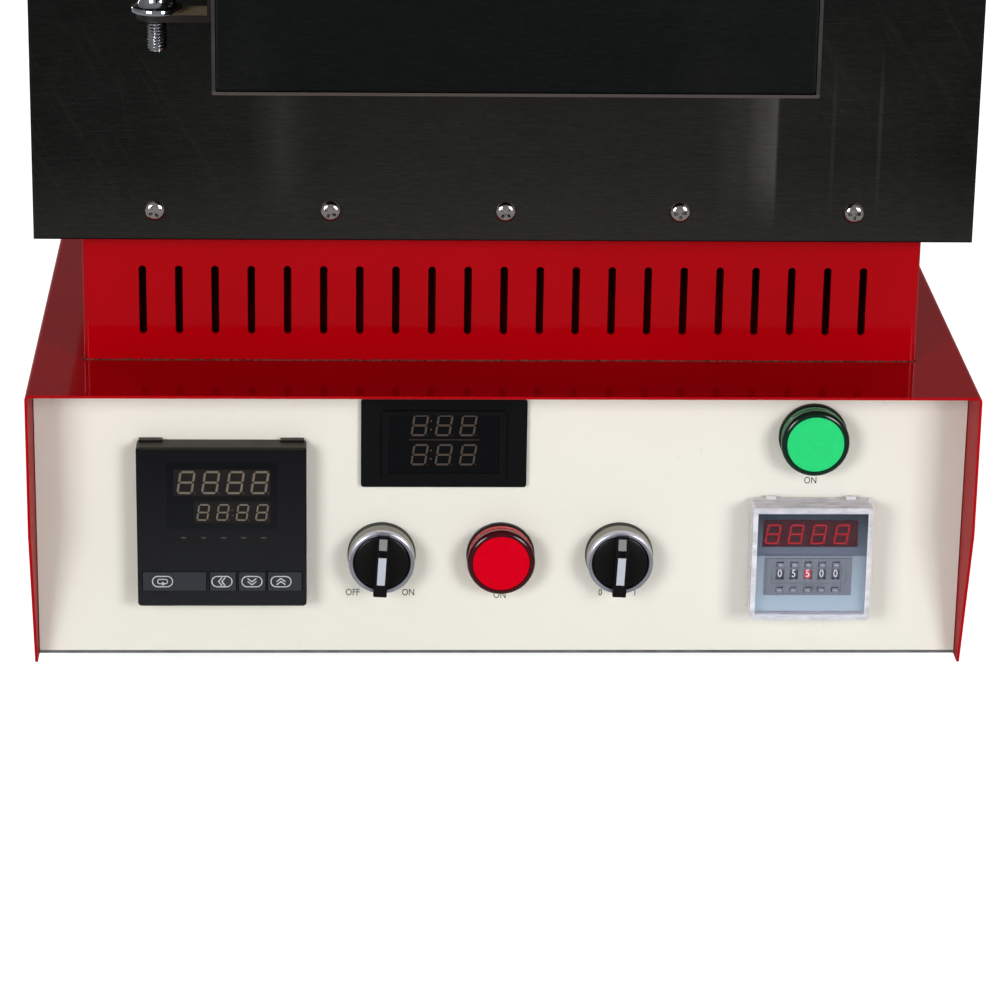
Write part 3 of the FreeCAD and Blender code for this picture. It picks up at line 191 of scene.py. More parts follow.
def specks(material, scale, low, high, weight):
    """Single fine dots, where the noise has its peaks."""
    return remapped(material, noise(material, scale, detail=0.0), low, high, 0.0, weight)


def combined(material, operation, first, second):
    """A math node on two sockets or numbers."""
    step = add_node(material, "Math")
    step.operation = operation
    for value, socket in zip((first, second), step.inputs):
        link(material, value, socket)
    return step.outputs["Value"]


def product(material, first, *others):
    """All the given sockets and numbers, multiplied."""
    for other in others:
        first = combined(material, "MULTIPLY", first, other)
    return first


def band(material, value, low, high, blur):
    """One between the low and the high value, and zero outside, with soft ends."""
    rise = remapped(material, value, low - blur, low + blur)
    fall = remapped(material, value, high - blur, high + blur, 1.0, 0.0)
    return product(material, rise, fall)


def mixed_colour(material, factor, first, second):
    """Mixes two colours or colour sockets by a factor."""
    mix = add_node(material, "Mix")
    mix.data_type = "RGBA"
    link(material, factor, mix.inputs["Factor"])
    for name, colour in (("A", first), ("B", second)):
        if isinstance(colour, tuple):
            mix.inputs[name].default_value = linear(colour)
        else:
            link(material, colour, mix.inputs[name])
    return mix.outputs["Result"]


def set_colour(material, factor, first, second):
    """Gives a material a base colour that is mixed from two."""
    set_input(material, "Base Color", mixed_colour(material, factor, first, second))


def bump(material, value, strength, distance):
    step = add_node(material, "Bump")
    for name, entry in (("Strength", strength), ("Distance", distance), ("Height", value)):
        link(material, entry, step.inputs[name])
    set_input(material, "Normal", step.outputs["Normal"])


# Materials; each colour is red, green and blue from 0 to 255


def red_paint():
    """Glossy red powder coat with a faint orange peel, duller on the upright side faces."""
    material = plain_material("red powder coat", (166, 0, 10), 0.07, specular=0.14)
    tone = clouds(material, 9.0, detail=3.0)
    set_colour(material, tone, (162, 0, 9), (172, 0, 12))
    across = surface_normal(material)["X"]
    satin_sides = remapped(material, product(material, across, across), 0.6, 0.95, 0.0, 0.4)
    gloss = clouds(material, 45.0, 0.05, 0.1)
    set_input(material, "Roughness", combined(material, "ADD", gloss, satin_sides))
    bump(material, noise(material, 420.0, detail=1.0), 0.06, 0.0002)
    return material


def cream_paint():
    """Cream powder coat, satin, with a very fine texture and a few specks of dust."""
    material = plain_material("cream powder coat", (233, 232, 221), 0.45, specular=0.3)
    clean = mixed_colour(material, clouds(material, 6.0, detail=3.0), (232, 231, 220), (236, 235, 225))
    dust = specks(material, 640.0, 0.84, 0.88, 0.15)
    set_colour(material, dust, clean, (160, 156, 144))
    bump(material, noise(material, 1200.0, detail=1.0), 0.08, 0.0002)
    return material


def dark_stainless(name, low_tone, high_tone, wear):
    """Dark stainless sheet: brushed grain, soft smudges, and scratches and dust as strong as its wear."""
    material = plain_material(name, low_tone, 0.36, metallic=1.0)
    grain = noise(material, 2600.0, stretch=(0.07, 1, 1), detail=4.0, rough=0.7)
    brushed = mixed_colour(material, remapped(material, grain, 0.25, 0.75), low_tone, high_tone)
    patches = noise(material, 11.0, stretch=(1, 1, 0.7), detail=5.0)
    smudges = remapped(material, patches, 0.5, 0.8, 0.0, 0.45)
    colour = mixed_colour(material, smudges, brushed, (52, 51, 50))
    worn = remapped(material, patches, 0.42, 0.62, 0.15, 1.0)
    # Scratches: fineness, length, lean in degrees, and strength
    for scale, length, lean, weight in ((1900.0, 50.0, -8.0, 0.05), (1700.0, 30.0, -26.0, 0.1),
                                        (450.0, 18.0, -30.0, 0.09), (1700.0, 34.0, 35.0, 0.03),
                                        (1900.0, 50.0, 88.0, 0.1)):
        lines = noise(material, scale, stretch=(1, 1, length), detail=1.0, lean=lean)
        scratches = remapped(material, lines, 0.6, 0.8, 0.0, weight * wear)
        colour = mixed_colour(material, product(material, scratches, worn), colour, (92, 90, 86))
    dust = specks(material, 700.0, 0.83, 0.88, 0.25 * wear)
    set_colour(material, dust, colour, (110, 108, 102))
    set_input(material, "Roughness", remapped(material, grain, 0.3, 0.7, 0.28, 0.44))
    bump(material, grain, 0.06, 0.0001)
    return material


def plate_stainless():
    """The front plate's sheet, with upright streaks, a haze below the door and a paler foot."""
    material = dark_stainless("brushed stainless plate", (30, 30, 29), (39, 39, 38), 1.0)
    colour = shader_of(material).inputs["Base Color"].links[0].from_socket
    place = object_place(material)
    edge = 0.112
    sharp = product(material, remapped(material, place["X"], edge - 0.012, edge),
                    remapped(material, place["X"], edge + 0.0012, edge))
    streaks = [(sharp, 0.6)]
    # Soft streaks: middle, half width, blur, and strength
    for middle, half, blur, weight in ((0.1, 0.006, 0.009, 0.2), (-0.093, 0.006, 0.008, 0.16),
                                       (0.1555, 0.0003, 0.0008, 0.22), (0.136, 0.0003, 0.0008, 0.15)):
        streaks.append((band(material, place["X"], middle - half, middle + half, blur), weight))
    height = band(material, place["Z"], 0.215, 0.272, 0.012)
    faded = clouds(material, 60.0, 0.5, 1.0, stretch=(1, 1, 0.2), detail=4.0)
    for streak, weight in streaks:
        mask = product(material, streak, height, faded, weight)
        colour = mixed_colour(material, mask, colour, (150, 148, 142))
    haze = product(material, band(material, place["X"], -0.11, 0.14, 0.05),
                   remapped(material, place["Z"], 0.3, 0.26, 0.0, 0.4))
    colour = mixed_colour(material, haze, colour, (72, 71, 68))
    foot = remapped(material, place["Z"], 0.235, 0.2, 0.0, 0.5)
    set_colour(material, foot, colour, (72, 71, 69))
    return material


def metal(name, colour, roughness, stretch=(1, 1, 1)):
    material = plain_material(name, colour, roughness, metallic=1.0)
    grain = noise(material, 140.0, stretch=stretch, detail=4.0)
    set_input(material, "Roughness", remapped(material, grain, 0.3, 0.7, roughness * 0.75, roughness * 1.35))
    bump(material, grain, 0.05, 0.0001)
    return material


def lug_steel():
    """Plain steel with painted light: warm and bright on its upper faces as a painted highlight, and dark on
    its upright faces and cut edges as a painted dark reflection.
    """
    material = metal("plain steel", (112, 104, 94), 0.42, stretch=(0.1, 1, 1))
    set_input(material, "Metallic", 0.4)
    # Painted light: faces that look up get a warm painted highlight, upright faces a dark painted reflection
    painted_top_light = remapped(material, surface_normal(material)["Z"], 0.3, 0.8)
    set_colour(material, painted_top_light, (42, 40, 38), (196, 174, 142))
    return material


def rim_steel():
    """The door's folded edge: painted paler than the sheet as a painted highlight of the bend, and brightest
    along the bottom as a painted reflection of the floor.
    """
    material = plain_material("folded steel edge with painted highlight", (84, 82, 80), 0.4, metallic=0.7, specular=0.3)
    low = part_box("door_shell")[0]
    # Painted reflection: a band along the bottom, painted brightest where the bend mirrors the floor
    bottom = remapped(material, object_place(material)["Z"], low.z + 1.2 * MM, low.z + 0.9 * MM)
    # Painted highlight: the whole edge is painted paler than the sheet
    edge = mixed_colour(material, clouds(material, 50.0, detail=4.0), (58, 57, 56), (78, 77, 75))
    set_colour(material, bottom, edge, (92, 82, 80))
    return material


def plastic(name, colour, roughness, specular=0.16, relief=0.06):
    material = plain_material(name, colour, roughness, specular=specular)
    bump(material, noise(material, 900.0), relief, 0.0002)
    set_input(material, "Roughness", clouds(material, 40.0, roughness * 0.85, roughness * 1.2))
    return material


def controller_tone(material, place):
    """The controller's front colour, paler toward its foot."""
    low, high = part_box("controller_case")
    return mixed_colour(material, remapped(material, place["Z"], low.z, high.z), (34, 35, 38), (14, 15, 17))


def controller_plastic():
    """Black moulded plastic whose top face is painted paler, as painted light from above."""
    material = plastic("controller plastic", (20, 21, 23), 0.42, specular=0.1)
    # Painted light: faces that look up are painted paler
    painted_top_light = remapped(material, surface_normal(material)["Z"], 0.5, 0.9)
    tone = controller_tone(material, object_place(material))
    set_colour(material, painted_top_light, tone, (58, 57, 50))
    return material


def dark_windows():
    """Dark display glass; on the controller it is as dark as the moulding round it."""
    material = plastic("dark window", (14, 15, 17), 0.2, specular=0.05, relief=0.0)
    place = object_place(material)
    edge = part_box("controller_case")[1].x
    meter_side = remapped(material, place["X"], edge, edge + 1 * MM)
    tone = mixed_colour(material, meter_side, controller_tone(material, place), (14, 15, 17))
    set_input(material, "Base Color", tone)
    return material


def fibre(name, light, dark):
    """White ceramic fibre: soft clumps and a fine felted surface."""
    material = plain_material(name, light, 0.95)
    clumps = clouds(material, 60.0, detail=6.0, rough=0.6)
    set_colour(material, clumps, dark, light)
    bump(material, noise(material, 260.0, detail=8.0, rough=0.7), 0.6, 0.001)
    return material


def stone(name, light, dark, scale):
    material = plain_material(name, light, 0.85)
    grains = remapped(material, noise(material, scale, detail=5.0), 0.35, 0.65)
    set_colour(material, grains, dark, light)
    bump(material, noise(material, scale * 3, detail=4.0), 0.35, 0.0006)
    return material


def uneven(name, colour, roughness, specular, scale, amount):
    """A plain colour that varies a little from place to place, with a slightly wavy surface."""
    material = plain_material(name, colour, roughness, specular=specular)
    darker = tuple(channel * amount for channel in linear(colour)[:3]) + (1.0,)
    set_colour(material, clouds(material, scale, detail=3.0), darker, colour)
    bump(material, noise(material, scale * 2.5, detail=1.0), 0.04, 0.0002)
    return material


def ink(name, colour):
    return uneven(name, colour, 0.6, 0.1, 900.0, 0.86)


def lens(name, colour):
    return uneven(name, colour, 0.1, 0.4, 220.0, 0.8)


def glowing(name, colour, strength):
    material = uneven(name, colour, 0.35, 0.02, 300.0, 0.92)
    shader_of(material).inputs["Emission Color"].default_value = linear(colour)
    set_input(material, "Emission Strength", strength)
    return material


def clear_plastic():
    """Clear cover plastic, milky along its moulded edges and walls."""
    material = plain_material("clear cover plastic", (246, 246, 252), 0.04, specular=0.5)
    set_input(material, "IOR", 1.14)
    place = object_place(material)
    low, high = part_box("timer_cover")
    wall = 2.0 * MM
    blur = 0.15 * MM
    inside = product(material, band(material, place["X"], low.x + wall, high.x - wall, blur),
                     band(material, place["Z"], low.z + wall, high.z - wall * 1.25, blur))
    milky = clouds(material, 260.0, 0.3, 0.6, stretch=(0.4, 1, 1), detail=3.0)
    clear = combined(material, "MAXIMUM", inside, milky)
    set_input(material, "Transmission Weight", remapped(material, clear, 0.0, 1.0, 0.0, 0.99))
    bump(material, noise(material, 300.0, detail=1.0), 0.03, 0.0002)
    return material


def wheel_row_middle():
    """The X and Z of the middle of the five digit wheels."""
    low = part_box("digit_wheel_1")[0]
    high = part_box("digit_wheel_5")[1]
    return (low.x + high.x) / 2, (low.z + high.z) / 2


def timer_face():
    """The timer's printed face: a dark upper band painted paler toward its foot as a painted reflection, a
    paler lower field and the grey wheel module.
    """
    material = plain_material("timer face", (150, 168, 178), 0.45, specular=0.1)
    place = object_place(material)
    wheel_x, wheel_z = wheel_row_middle()

    def from_height(low, high):
        return remapped(material, place["Z"], wheel_z + low * MM, wheel_z + high * MM)

    lower = mixed_colour(material, from_height(-16, 10), (164, 182, 190), (138, 150, 156))
    # Painted reflection: the dark band is painted paler toward its foot
    dark_band_and_painted_reflection = mixed_colour(material, from_height(26.0, 9.0), (38, 50, 60), (96, 106, 118))
    face = mixed_colour(material, from_height(8.1, 8.3), lower, dark_band_and_painted_reflection)
    face = mixed_colour(material, from_height(30.0, 30.2), face, (226, 227, 232))
    module = product(material,
                     band(material, place["X"], wheel_x - 18.9 * MM, wheel_x + 18.9 * MM, 0.05 * MM),
                     band(material, place["Z"], wheel_z - 9.6 * MM, wheel_z + 7.8 * MM, 0.05 * MM))
    set_colour(material, module, face, (112, 118, 124))
    bump(material, noise(material, 900.0), 0.05, 0.0002)
    return material


RED = red_paint()
CREAM = cream_paint()
DARK_PLATE = plate_stainless()
DARK_DOOR = dark_stainless("brushed stainless door", (31, 33, 33), (34, 36, 36), 0.2)
ZINC = metal("zinc plated sheet", (150, 152, 154), 0.4)
CHROME = metal("bright chrome", (196, 198, 202), 0.14)
SCREW_STEEL = metal("nickel plated steel", (196, 191, 188), 0.12)
POLISHED = metal("polished steel", (196, 200, 206), 0.06)
BRACKET = lug_steel()
RIM_HIGHLIGHT = rim_steel()
FLUE = metal("flue stainless", (164, 162, 158), 0.28, stretch=(1, 1, 0.05))
ALLOY = metal("resistance wire", (108, 98, 90), 0.5)
FIBRE = fibre("ceramic fibre", (232, 227, 216), (214, 206, 192))
MUFFLE = stone("muffle ceramic", (226, 218, 202), (205, 192, 170), 220.0)
HEARTH = stone("hearth ceramic", (206, 188, 158), (176, 152, 120), 160.0)
SEALANT = stone("speckled sealant", (116, 66, 56), (30, 4, 4), 1100.0)
RUBBER = plastic("black rubber", (22, 22, 22), 0.85, relief=0.3)
BLACK = plastic("black moulded plastic", (18, 19, 21), 0.42)
CONTROLLER = controller_plastic()
METER_FRAME = plastic("meter frame plastic", (17, 18, 19), 0.3, specular=0.06)
KEY = plastic("key plastic", (50, 52, 57), 0.5)
GREY = plastic("grey plastic", (122, 127, 134), 0.5)
DARK_GREY = plastic("dark grey plastic", (72, 76, 82), 0.5)
KNOB = plastic("glossy black plastic", (13, 13, 14), 0.3)
WINDOW = dark_windows()
RED_WINDOW = plastic("red window", (58, 10, 20), 0.3, specular=0.06, relief=0.0)
WINDOW_FIELD = plastic("unlit display field", (34, 32, 32), 0.4, specular=0.04, relief=0.0)
SILVER = metal("satin silver bezel", (198, 198, 212), 0.3)
BEZEL_BAND = plastic("bezel band", (150, 150, 138), 0.4)
GASKET = plastic("gasket rubber", (62, 66, 60), 0.6)
INLAY = plastic("pale lever inlay", (188, 194, 204), 0.4)
# Painted reflection: the pale inlay's sloping top, painted grey
INLAY_PAINTED_REFLECTION = plastic("lever inlay with painted reflection", (138, 138, 138), 0.4)
GREEN_RING = lens("green lens ring", (2, 38, 26))
GREEN_SIDE = lens("green lens side", (10, 128, 70))
GREEN_DISC = glowing("green lens disc", (44, 206, 118), 0.12)
RED_RING = lens("red lens ring", (62, 0, 10))
RED_SIDE = lens("red lens side", (196, 26, 38))
RED_DISC = glowing("red lens disc", (204, 0, 26), 0.12)
RED_SEGMENT = glowing("red segment", (176, 14, 30), 0.2)
CLEAR = clear_plastic()
TIMER_FACE = timer_face()
INK = ink("dark ink", (44, 48, 52))
WHITE_INK = ink("white ink", (232, 234, 236))
RED_PATCH = ink("red wheel print", (205, 74, 78))
DIM_SEGMENT = ink("unlit segment", (116, 107, 94))
DIM_BROWN = ink("unlit brown segment", (78, 69, 62))
ICON = ink("key symbol", (200, 202, 206))
PALE_MARK = ink("pale button mark", (176, 182, 186))

FINISHES = (
    (RED, ("base_cover", "plinth", "upper_casing", "casing_rear_panel", "base_rear_panel")),
    (CREAM, ("control_panel",)),
    (DARK_PLATE, ("front_plate",)),
    (DARK_DOOR, ("door_shell",)),
    (ZINC, ("base_pan", "relay_heatsink")),
    (BRACKET, ("hinge_brackets", "latch_keeper", "door_lugs", "latch_lever")),
    (CHROME, ("front_plate_screws", "cabinet_screws", "hinge_pins", "door_fasteners")),
    (FLUE, ("vent_tube", "vent_damper")),
    (ALLOY, ("heating_elements",)),
    (FIBRE, ("fibre_insulation", "door_insulation")),
    (MUFFLE, ("muffle",)),
    (HEARTH, ("hearth_plate", "thermocouple")),
    (RUBBER, ("rubber_feet",)),
    (CONTROLLER, ("controller_case",)),
    (BLACK, ("lamp_bodies", "contact_blocks", "cable_gland")),
    (METER_FRAME, ("meter_case",)),
    (KEY, ("key_set", "key_shift", "key_down", "key_up")),
    (WINDOW, ("display_windows",)),
    (TIMER_FACE, ("timer_case",)),
    (GREEN_SIDE, ("power_lamp_lens",)),
    (RED_SIDE, ("heating_lamp_lens",)),
    (SILVER, ("switch_bodies",)),
    (KNOB, ("latch_knob", "heating_switch_knob", "timing_switch_knob")),
    (CLEAR, ("timer_cover",)),
    (DARK_GREY, ["digit_wheel_%d" % index for index in range(1, 6)]),
    (GREY, ["%s_button_%d" % (sign, index) for sign in ("plus", "minus") for index in range(1, 6)]))


def paint_cad_nodes():
    for material, names in FINISHES:
        for name in names:
            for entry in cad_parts[name].material_slots:
                entry.material = material


# Mesh helpers


def mesh_from(bm, name, smooth=False):
    bmesh.ops.recalc_face_normals(bm, faces=bm.faces)
    mesh = bpy.data.meshes.new(name)
    bm.to_mesh(mesh)
    bm.free()
    if smooth:
        smooth_over(mesh)
    return mesh


def smooth_over(mesh):
    mesh.shade_smooth()
    mesh.set_sharp_from_angle(angle=math.radians(32))


def new_piece(name, shape, material, body, smooth=False):
    """Makes a piece of a mesh, or of mesh code, and puts it on its body."""
    mesh = mesh_from(shape, name, smooth) if isinstance(shape, bmesh.types.BMesh) else shape
    piece = bpy.data.objects.new(name, mesh)
    bpy.context.scene.collection.objects.link(piece)
    mesh.materials.append(material)
    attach(piece, body)
    return piece


def join_rings(bm, rings):
    """Joins rings that have as many points by a skin of faces."""
    for near, far in zip(rings, rings[1:]):
        for index in range(len(near)):
            after = (index + 1) % len(near)
            bm.faces.new((near[index], near[after], far[after], far[index]))


def add_solid(bm, outlines):
    """Adds a solid that runs through the outlines, closed by the first and the last of them."""
    rings = [[bm.verts.new(point) for point in outline] for outline in outlines]
    bm.faces.new(rings[0])
    bm.faces.new(reversed(rings[-1]))
    join_rings(bm, rings)


def add_plate(bm, outline, back, front):
    """Adds a thin plate that faces the viewer: an outline of (x, z) between two depths along Y."""
    add_solid(bm, [[(x, depth, z) for x, z in outline] for depth in (back, front)])


def rectangle(x0, x1, z0, z1):
    return [(x0, z0), (x1, z0), (x1, z1), (x0, z1)]


def add_bar(bm, x, z, half_x, half_z, face, thickness=PRINT):
    """Adds a printed bar on a face, about a middle; its half sizes are in millimetres."""
    outline = rectangle(x - half_x * MM, x + half_x * MM, z - half_z * MM, z + half_z * MM)
    add_plate(bm, outline, face, face - thickness)


def add_ring(bm, outer, inner, back, front):
    """Adds a flat ring between two outlines that have as many points."""
    edges = ((outer, back), (outer, front), (inner, front), (inner, back))
    loops = [[bm.verts.new((x, depth, z)) for x, z in outline] for outline, depth in edges]
    join_rings(bm, loops + loops[:1])


def circle(radius, height, segments):
    angles = [2 * math.pi * step / segments for step in range(segments)]
    return [Vector((radius * math.cos(angle), radius * math.sin(angle), height)) for angle in angles]


def add_turned(bm, profile, segments=64, seat=Matrix.Identity(4)):
    """Adds a body turned about the seat's Z axis; the profile lists (radius, height)."""
    rings = []
    for radius, height in profile:
        spots = [Vector((0, 0, height))] if radius < 1e-7 else circle(radius, height, segments)
        rings.append([bm.verts.new(seat @ spot) for spot in spots])
    for near, far in zip(rings, rings[1:]):
        for step in range(segments):
            after = (step + 1) % segments
            corners = (near[step % len(near)], near[after % len(near)],
                       far[after % len(far)], far[step % len(far)])
            unique = list(dict.fromkeys(corners))
            if len(unique) > 2:
                bm.faces.new(unique)


def facing(place, direction):
    """A frame at the place whose Z axis points along the direction."""
    turn = Vector((0, 0, 1)).rotation_difference(Vector(direction)).to_matrix().to_4x4()
    return Matrix.Translation(place) @ turn


def turned_piece(name, profile, place, material, body):
    """A body turned about a line toward the viewer; the profile lists (radius, height) in millimetres."""
    bm = bmesh.new()
    scaled = [(radius * MM, height * MM) for radius, height in profile]
    add_turned(bm, scaled, seat=facing(place, TOWARD_VIEWER))
    return new_piece(name, bm, material, body, smooth=True)


def rounded_outline(x0, x1, z0, z1, radius, steps=5):
    points = []
    for centre_x, centre_z, start in ((x1 - radius, z1 - radius, 0), (x0 + radius, z1 - radius, 90),
                                      (x0 + radius, z0 + radius, 180), (x1 - radius, z0 + radius, 270)):
        for step in range(steps + 1):
            angle = math.radians(start + 90 * step / steps)
            points.append((centre_x + radius * math.cos(angle), centre_z + radius * math.sin(angle)))
    return points


# Numbers and symbols


def segment_outlines(x, z, width, height, stroke, slant=0.15):
    """The seven bars and the point of a display digit whose lower left corner is at (x, z)."""
    gap = stroke * 0.24
    half = stroke / 2
    middle = z + height / 2

    def level_bar(level):
        x0 = x + half + gap
        x1 = x + width - half - gap
        return [(x0, level), (x0 + half, level + half), (x1 - half, level + half), (x1, level),
                (x1 - half, level - half), (x0 + half, level - half)]

    def upright_bar(column, z0, z1):
        z0 += gap
        z1 -= gap
        return [(column, z0), (column + half, z0 + half), (column + half, z1 - half), (column, z1),
                (column - half, z1 - half), (column - half, z0 + half)]

    columns = (x + half, x + width - half)
    bars = [level_bar(level) for level in (z + half, middle, z + height - half)]
    bars += [upright_bar(column, z + half, middle) for column in columns]
    bars += [upright_bar(column, middle, z + height - half) for column in columns]
    point_x = x + width + stroke * 0.9
    bars.append(rectangle(point_x - half * 0.4, point_x + half * 0.4, z + stroke * 0.2, z + stroke * 0.6))
    return [[(px + (pz - z) * slant, pz) for px, pz in bar] for bar in bars]


def display_digits(name, x, z, count, pitch, size, face, material):
    """A row of slanted display digits; their pitch, width, height and stroke are in millimetres."""
    bm = bmesh.new()
    for index in range(count):
        for outline in segment_outlines(x + index * pitch * MM, z, *[length * MM for length in size]):
            add_plate(bm, outline, face, face - PRINT)
    new_piece(name, bm, material, "furnace")


def lettering(name, text, x, z, size, face, material, body, stretch):
    """A generic number or word as a thin print on a face that looks at the viewer."""
    curve = bpy.data.curves.new(name, "FONT")
    curve.body = text
    curve.size = size * MM
    curve.align_x = "CENTER"
    curve.align_y = "CENTER"
    curve.extrude = PRINT / 2
    curve.resolution_u = 3
    holder = bpy.data.objects.new(name + "_text", curve)
    bpy.context.scene.collection.objects.link(holder)
    bpy.context.view_layer.update()
    mesh = bpy.data.meshes.new_from_object(holder)
    bpy.data.objects.remove(holder)
    mesh.name = name
    mesh.materials.clear()
    turn = Matrix.Rotation(math.pi / 2, 4, "X")
    shape = Matrix.Diagonal((stretch, 1, 1, 1))
    mesh.transform(Matrix.Translation((x, face - PRINT / 2, z)) @ turn @ shape)
    return new_piece(name, mesh, material, body)


def add_chevron(bm, x, z, shift, heading, back, front):
    reach = 1.9 * MM
    stroke = 0.62 * MM
    rise = 1.05 * MM
    points = [(-reach, -rise), (0, rise - stroke), (reach, -rise), (reach, -rise + stroke), (0, rise),
              (-reach, -rise + stroke)]
    if heading == "up":
        outline = [(x + px, z + pz + shift) for px, pz in points]
    elif heading == "down":
        outline = [(x + px, z - pz + shift) for px, pz in points]
    else:
        outline = [(x - pz + shift, z + px) for px, pz in points]
    add_plate(bm, outline, back, front)


# Controller, meter and panel


def controller_details():
    """Two display fields with their digits, and a row of small marks below them."""
    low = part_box("controller_case")[0]
    left = low.x
    top = low.z + 72 * MM
    face = low.y
    fields = bmesh.new()
    for x0, x1, drop0, drop1 in ((15.8, 56.8, 9.6, 21.6), (24.2, 56.8, 24.0, 33.8)):
        outline = rectangle(left + x0 * MM, left + x1 * MM, top - drop1 * MM, top - drop0 * MM)
        add_plate(fields, outline, face, face - PRINT)
    new_piece("display_fields", fields, WINDOW_FIELD, "furnace")
    face -= PRINT
    for name, x, drop, pitch, size in (("process_digits", 16.9, 20.7, 10.4, (6.9, 10.4, 0.95)),
                                       ("setpoint_digits", 25.2, 32.8, 8.3, (5.0, 7.6, 0.72))):
        display_digits(name, left + x * MM, top - drop * MM, 4, pitch, size, face, DIM_SEGMENT)
    bars = bmesh.new()
    for rise in (2.4, 4.9):
        add_bar(bars, left + 40.6 * MM, top + (rise - 32.8) * MM, 0.35, 0.35, face)
    for offset in (19.8, 28.3, 36.8, 45.2, 53.8):
        add_bar(bars, left + offset * MM, top - 40.5 * MM, 1.1, 0.35, face)
    new_piece("indicator_bars", bars, DIM_BROWN, "furnace")


def key_symbols():
    """A pill outline on each key with a plain arrow or loop in it."""
    case_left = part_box("controller_case")[0].x
    for key, centre, shape in (("key_set", 10.6, "loop"), ("key_shift", 35.9, "left"),
                               ("key_down", 48.7, "down"), ("key_up", 61.1, "up")):
        low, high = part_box(key)
        x = case_left + centre * MM
        z = (low.z + high.z) / 2
        front = low.y - PRINT
        bm = bmesh.new()
        pills = [(4.5, 2.6, 0.45)]
        if shape == "loop":
            pills.append((2.3, 1.2, 0.4))
            arrow = [(x - 0.2 * MM, z - 2.0 * MM), (x + 1.3 * MM, z - 1.0 * MM), (x - 0.2 * MM, z)]
            add_plate(bm, arrow, low.y, front - PRINT * 0.3)
        else:
            for shift in (-0.7, 0.7):
                add_chevron(bm, x, z, shift * MM, shape, low.y, front)
        for half_x, half_z, width in pills:
            outer, inner = [rounded_outline(x - (half_x - inset) * MM, x + (half_x - inset) * MM,
                                            z - (half_z - inset) * MM, z + (half_z - inset) * MM,
                                            (half_z - inset - 0.1) * MM) for inset in (0, width)]
            add_ring(bm, outer, inner, low.y, front)
        new_piece(key + "_symbol", bm, ICON, key)


def meter_details():
    """Two rows of unlit digits with their points, and a line between them."""
    middle = middle_of("meter_case")
    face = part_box("meter_case")[0].y + 0.5 * MM
    points = bmesh.new()
    for row, level in (("upper", 3.7), ("lower", -9.5)):
        z = middle.z + level * MM
        display_digits("meter_digits_" + row, middle.x - 14.4 * MM, z, 3, 10.3, (6.6, 9.6, 0.85), face,
                       DIM_BROWN)
        for rise in (2.9, 6.7):
            add_bar(points, middle.x - 5.6 * MM, z + rise * MM, 0.35, 0.35, face)
    add_bar(points, middle.x, middle.z + 2.0 * MM, 15.0, 0.1, face, PRINT * 0.4)
    new_piece("meter_points", points, DIM_BROWN, "furnace")


def panel_labels():
    """Generic marks under the switches and the lamps; their places are in millimetres."""
    for name, text, x, z in (("switch_off", "OFF", -63.5, 41.3), ("switch_on", "ON", -39.5, 41.3),
                             ("lamp", "ON", 0.0, 40.1), ("timing_off", "0", 43.5, 41.3),
                             ("timing_on", "I", 58.5, 41.3), ("power", "ON", 132.5, 93.0)):
        lettering("label_" + name, text, x * MM, z * MM, 4.4, PANEL_Y, INK, "furnace", 0.8)


# Lamps and switches


def lamps():
    """Pilot lamp lenses: a glowing disc, a dark glossy ring round it and a ribbed side."""
    for lamp, disc, ring, side, slot_name in (
            ("power_lamp_lens", GREEN_DISC, GREEN_RING, GREEN_SIDE, "green_lens"),
            ("heating_lamp_lens", RED_DISC, RED_RING, RED_SIDE, "red_lens")):
        low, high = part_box(lamp)
        place = Vector((middle_of(lamp).x, high.y, middle_of(lamp).z))
        top = (high.y - low.y) / MM
        ring_profile = [(11.6, top - 2.6), (14.2, top - 2.6), (14.6, top - 2.1)]
        for angle in range(0, 91, 10):
            turn = math.radians(angle)
            ring_profile.append((12.3 + 2.3 * math.cos(turn), top - 1.6 + 1.9 * math.sin(turn)))
        ring_profile += [(12.2, top + 0.1), (11.6, top - 0.6)]
        disc_profile = [(0, top + 0.45), (7.0, top + 0.42), (10.6, top + 0.33), (12.1, top + 0.2),
                        (12.25, top - 1.0), (0, top - 1.0)]
        side_profile = [(0, top - 2.3), (13.7, top - 2.3), (13.7, top - 3.0), (14.2, top - 3.3),
                        (14.2, top - 4.5), (13.6, top - 4.8), (13.6, top - 5.4), (14.2, top - 5.8),
                        (14.2, 0), (0, 0)]
        collar = [(13.9, 1.0), (14.4, 0.7), (14.7, 0.2), (14.7, -2.0), (14.5, -2.4), (13.9, -2.4)]
        main = turned_piece(lamp + "_ring", ring_profile, place, ring, "furnace")
        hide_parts(lamp)
        turned_piece(lamp + "_disc", disc_profile, place, disc, "furnace")
        turned_piece(lamp + "_side", side_profile, place, side, "furnace")
        turned_piece(lamp + "_collar", collar, place, BLACK, "furnace")


def switch_seat(switch):
    """The middle of a switch on the panel's face."""
    low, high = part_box("switch_bodies")
    return Vector((middle_of(switch + "_knob").x, PANEL_Y, (low.z + high.z) / 2))


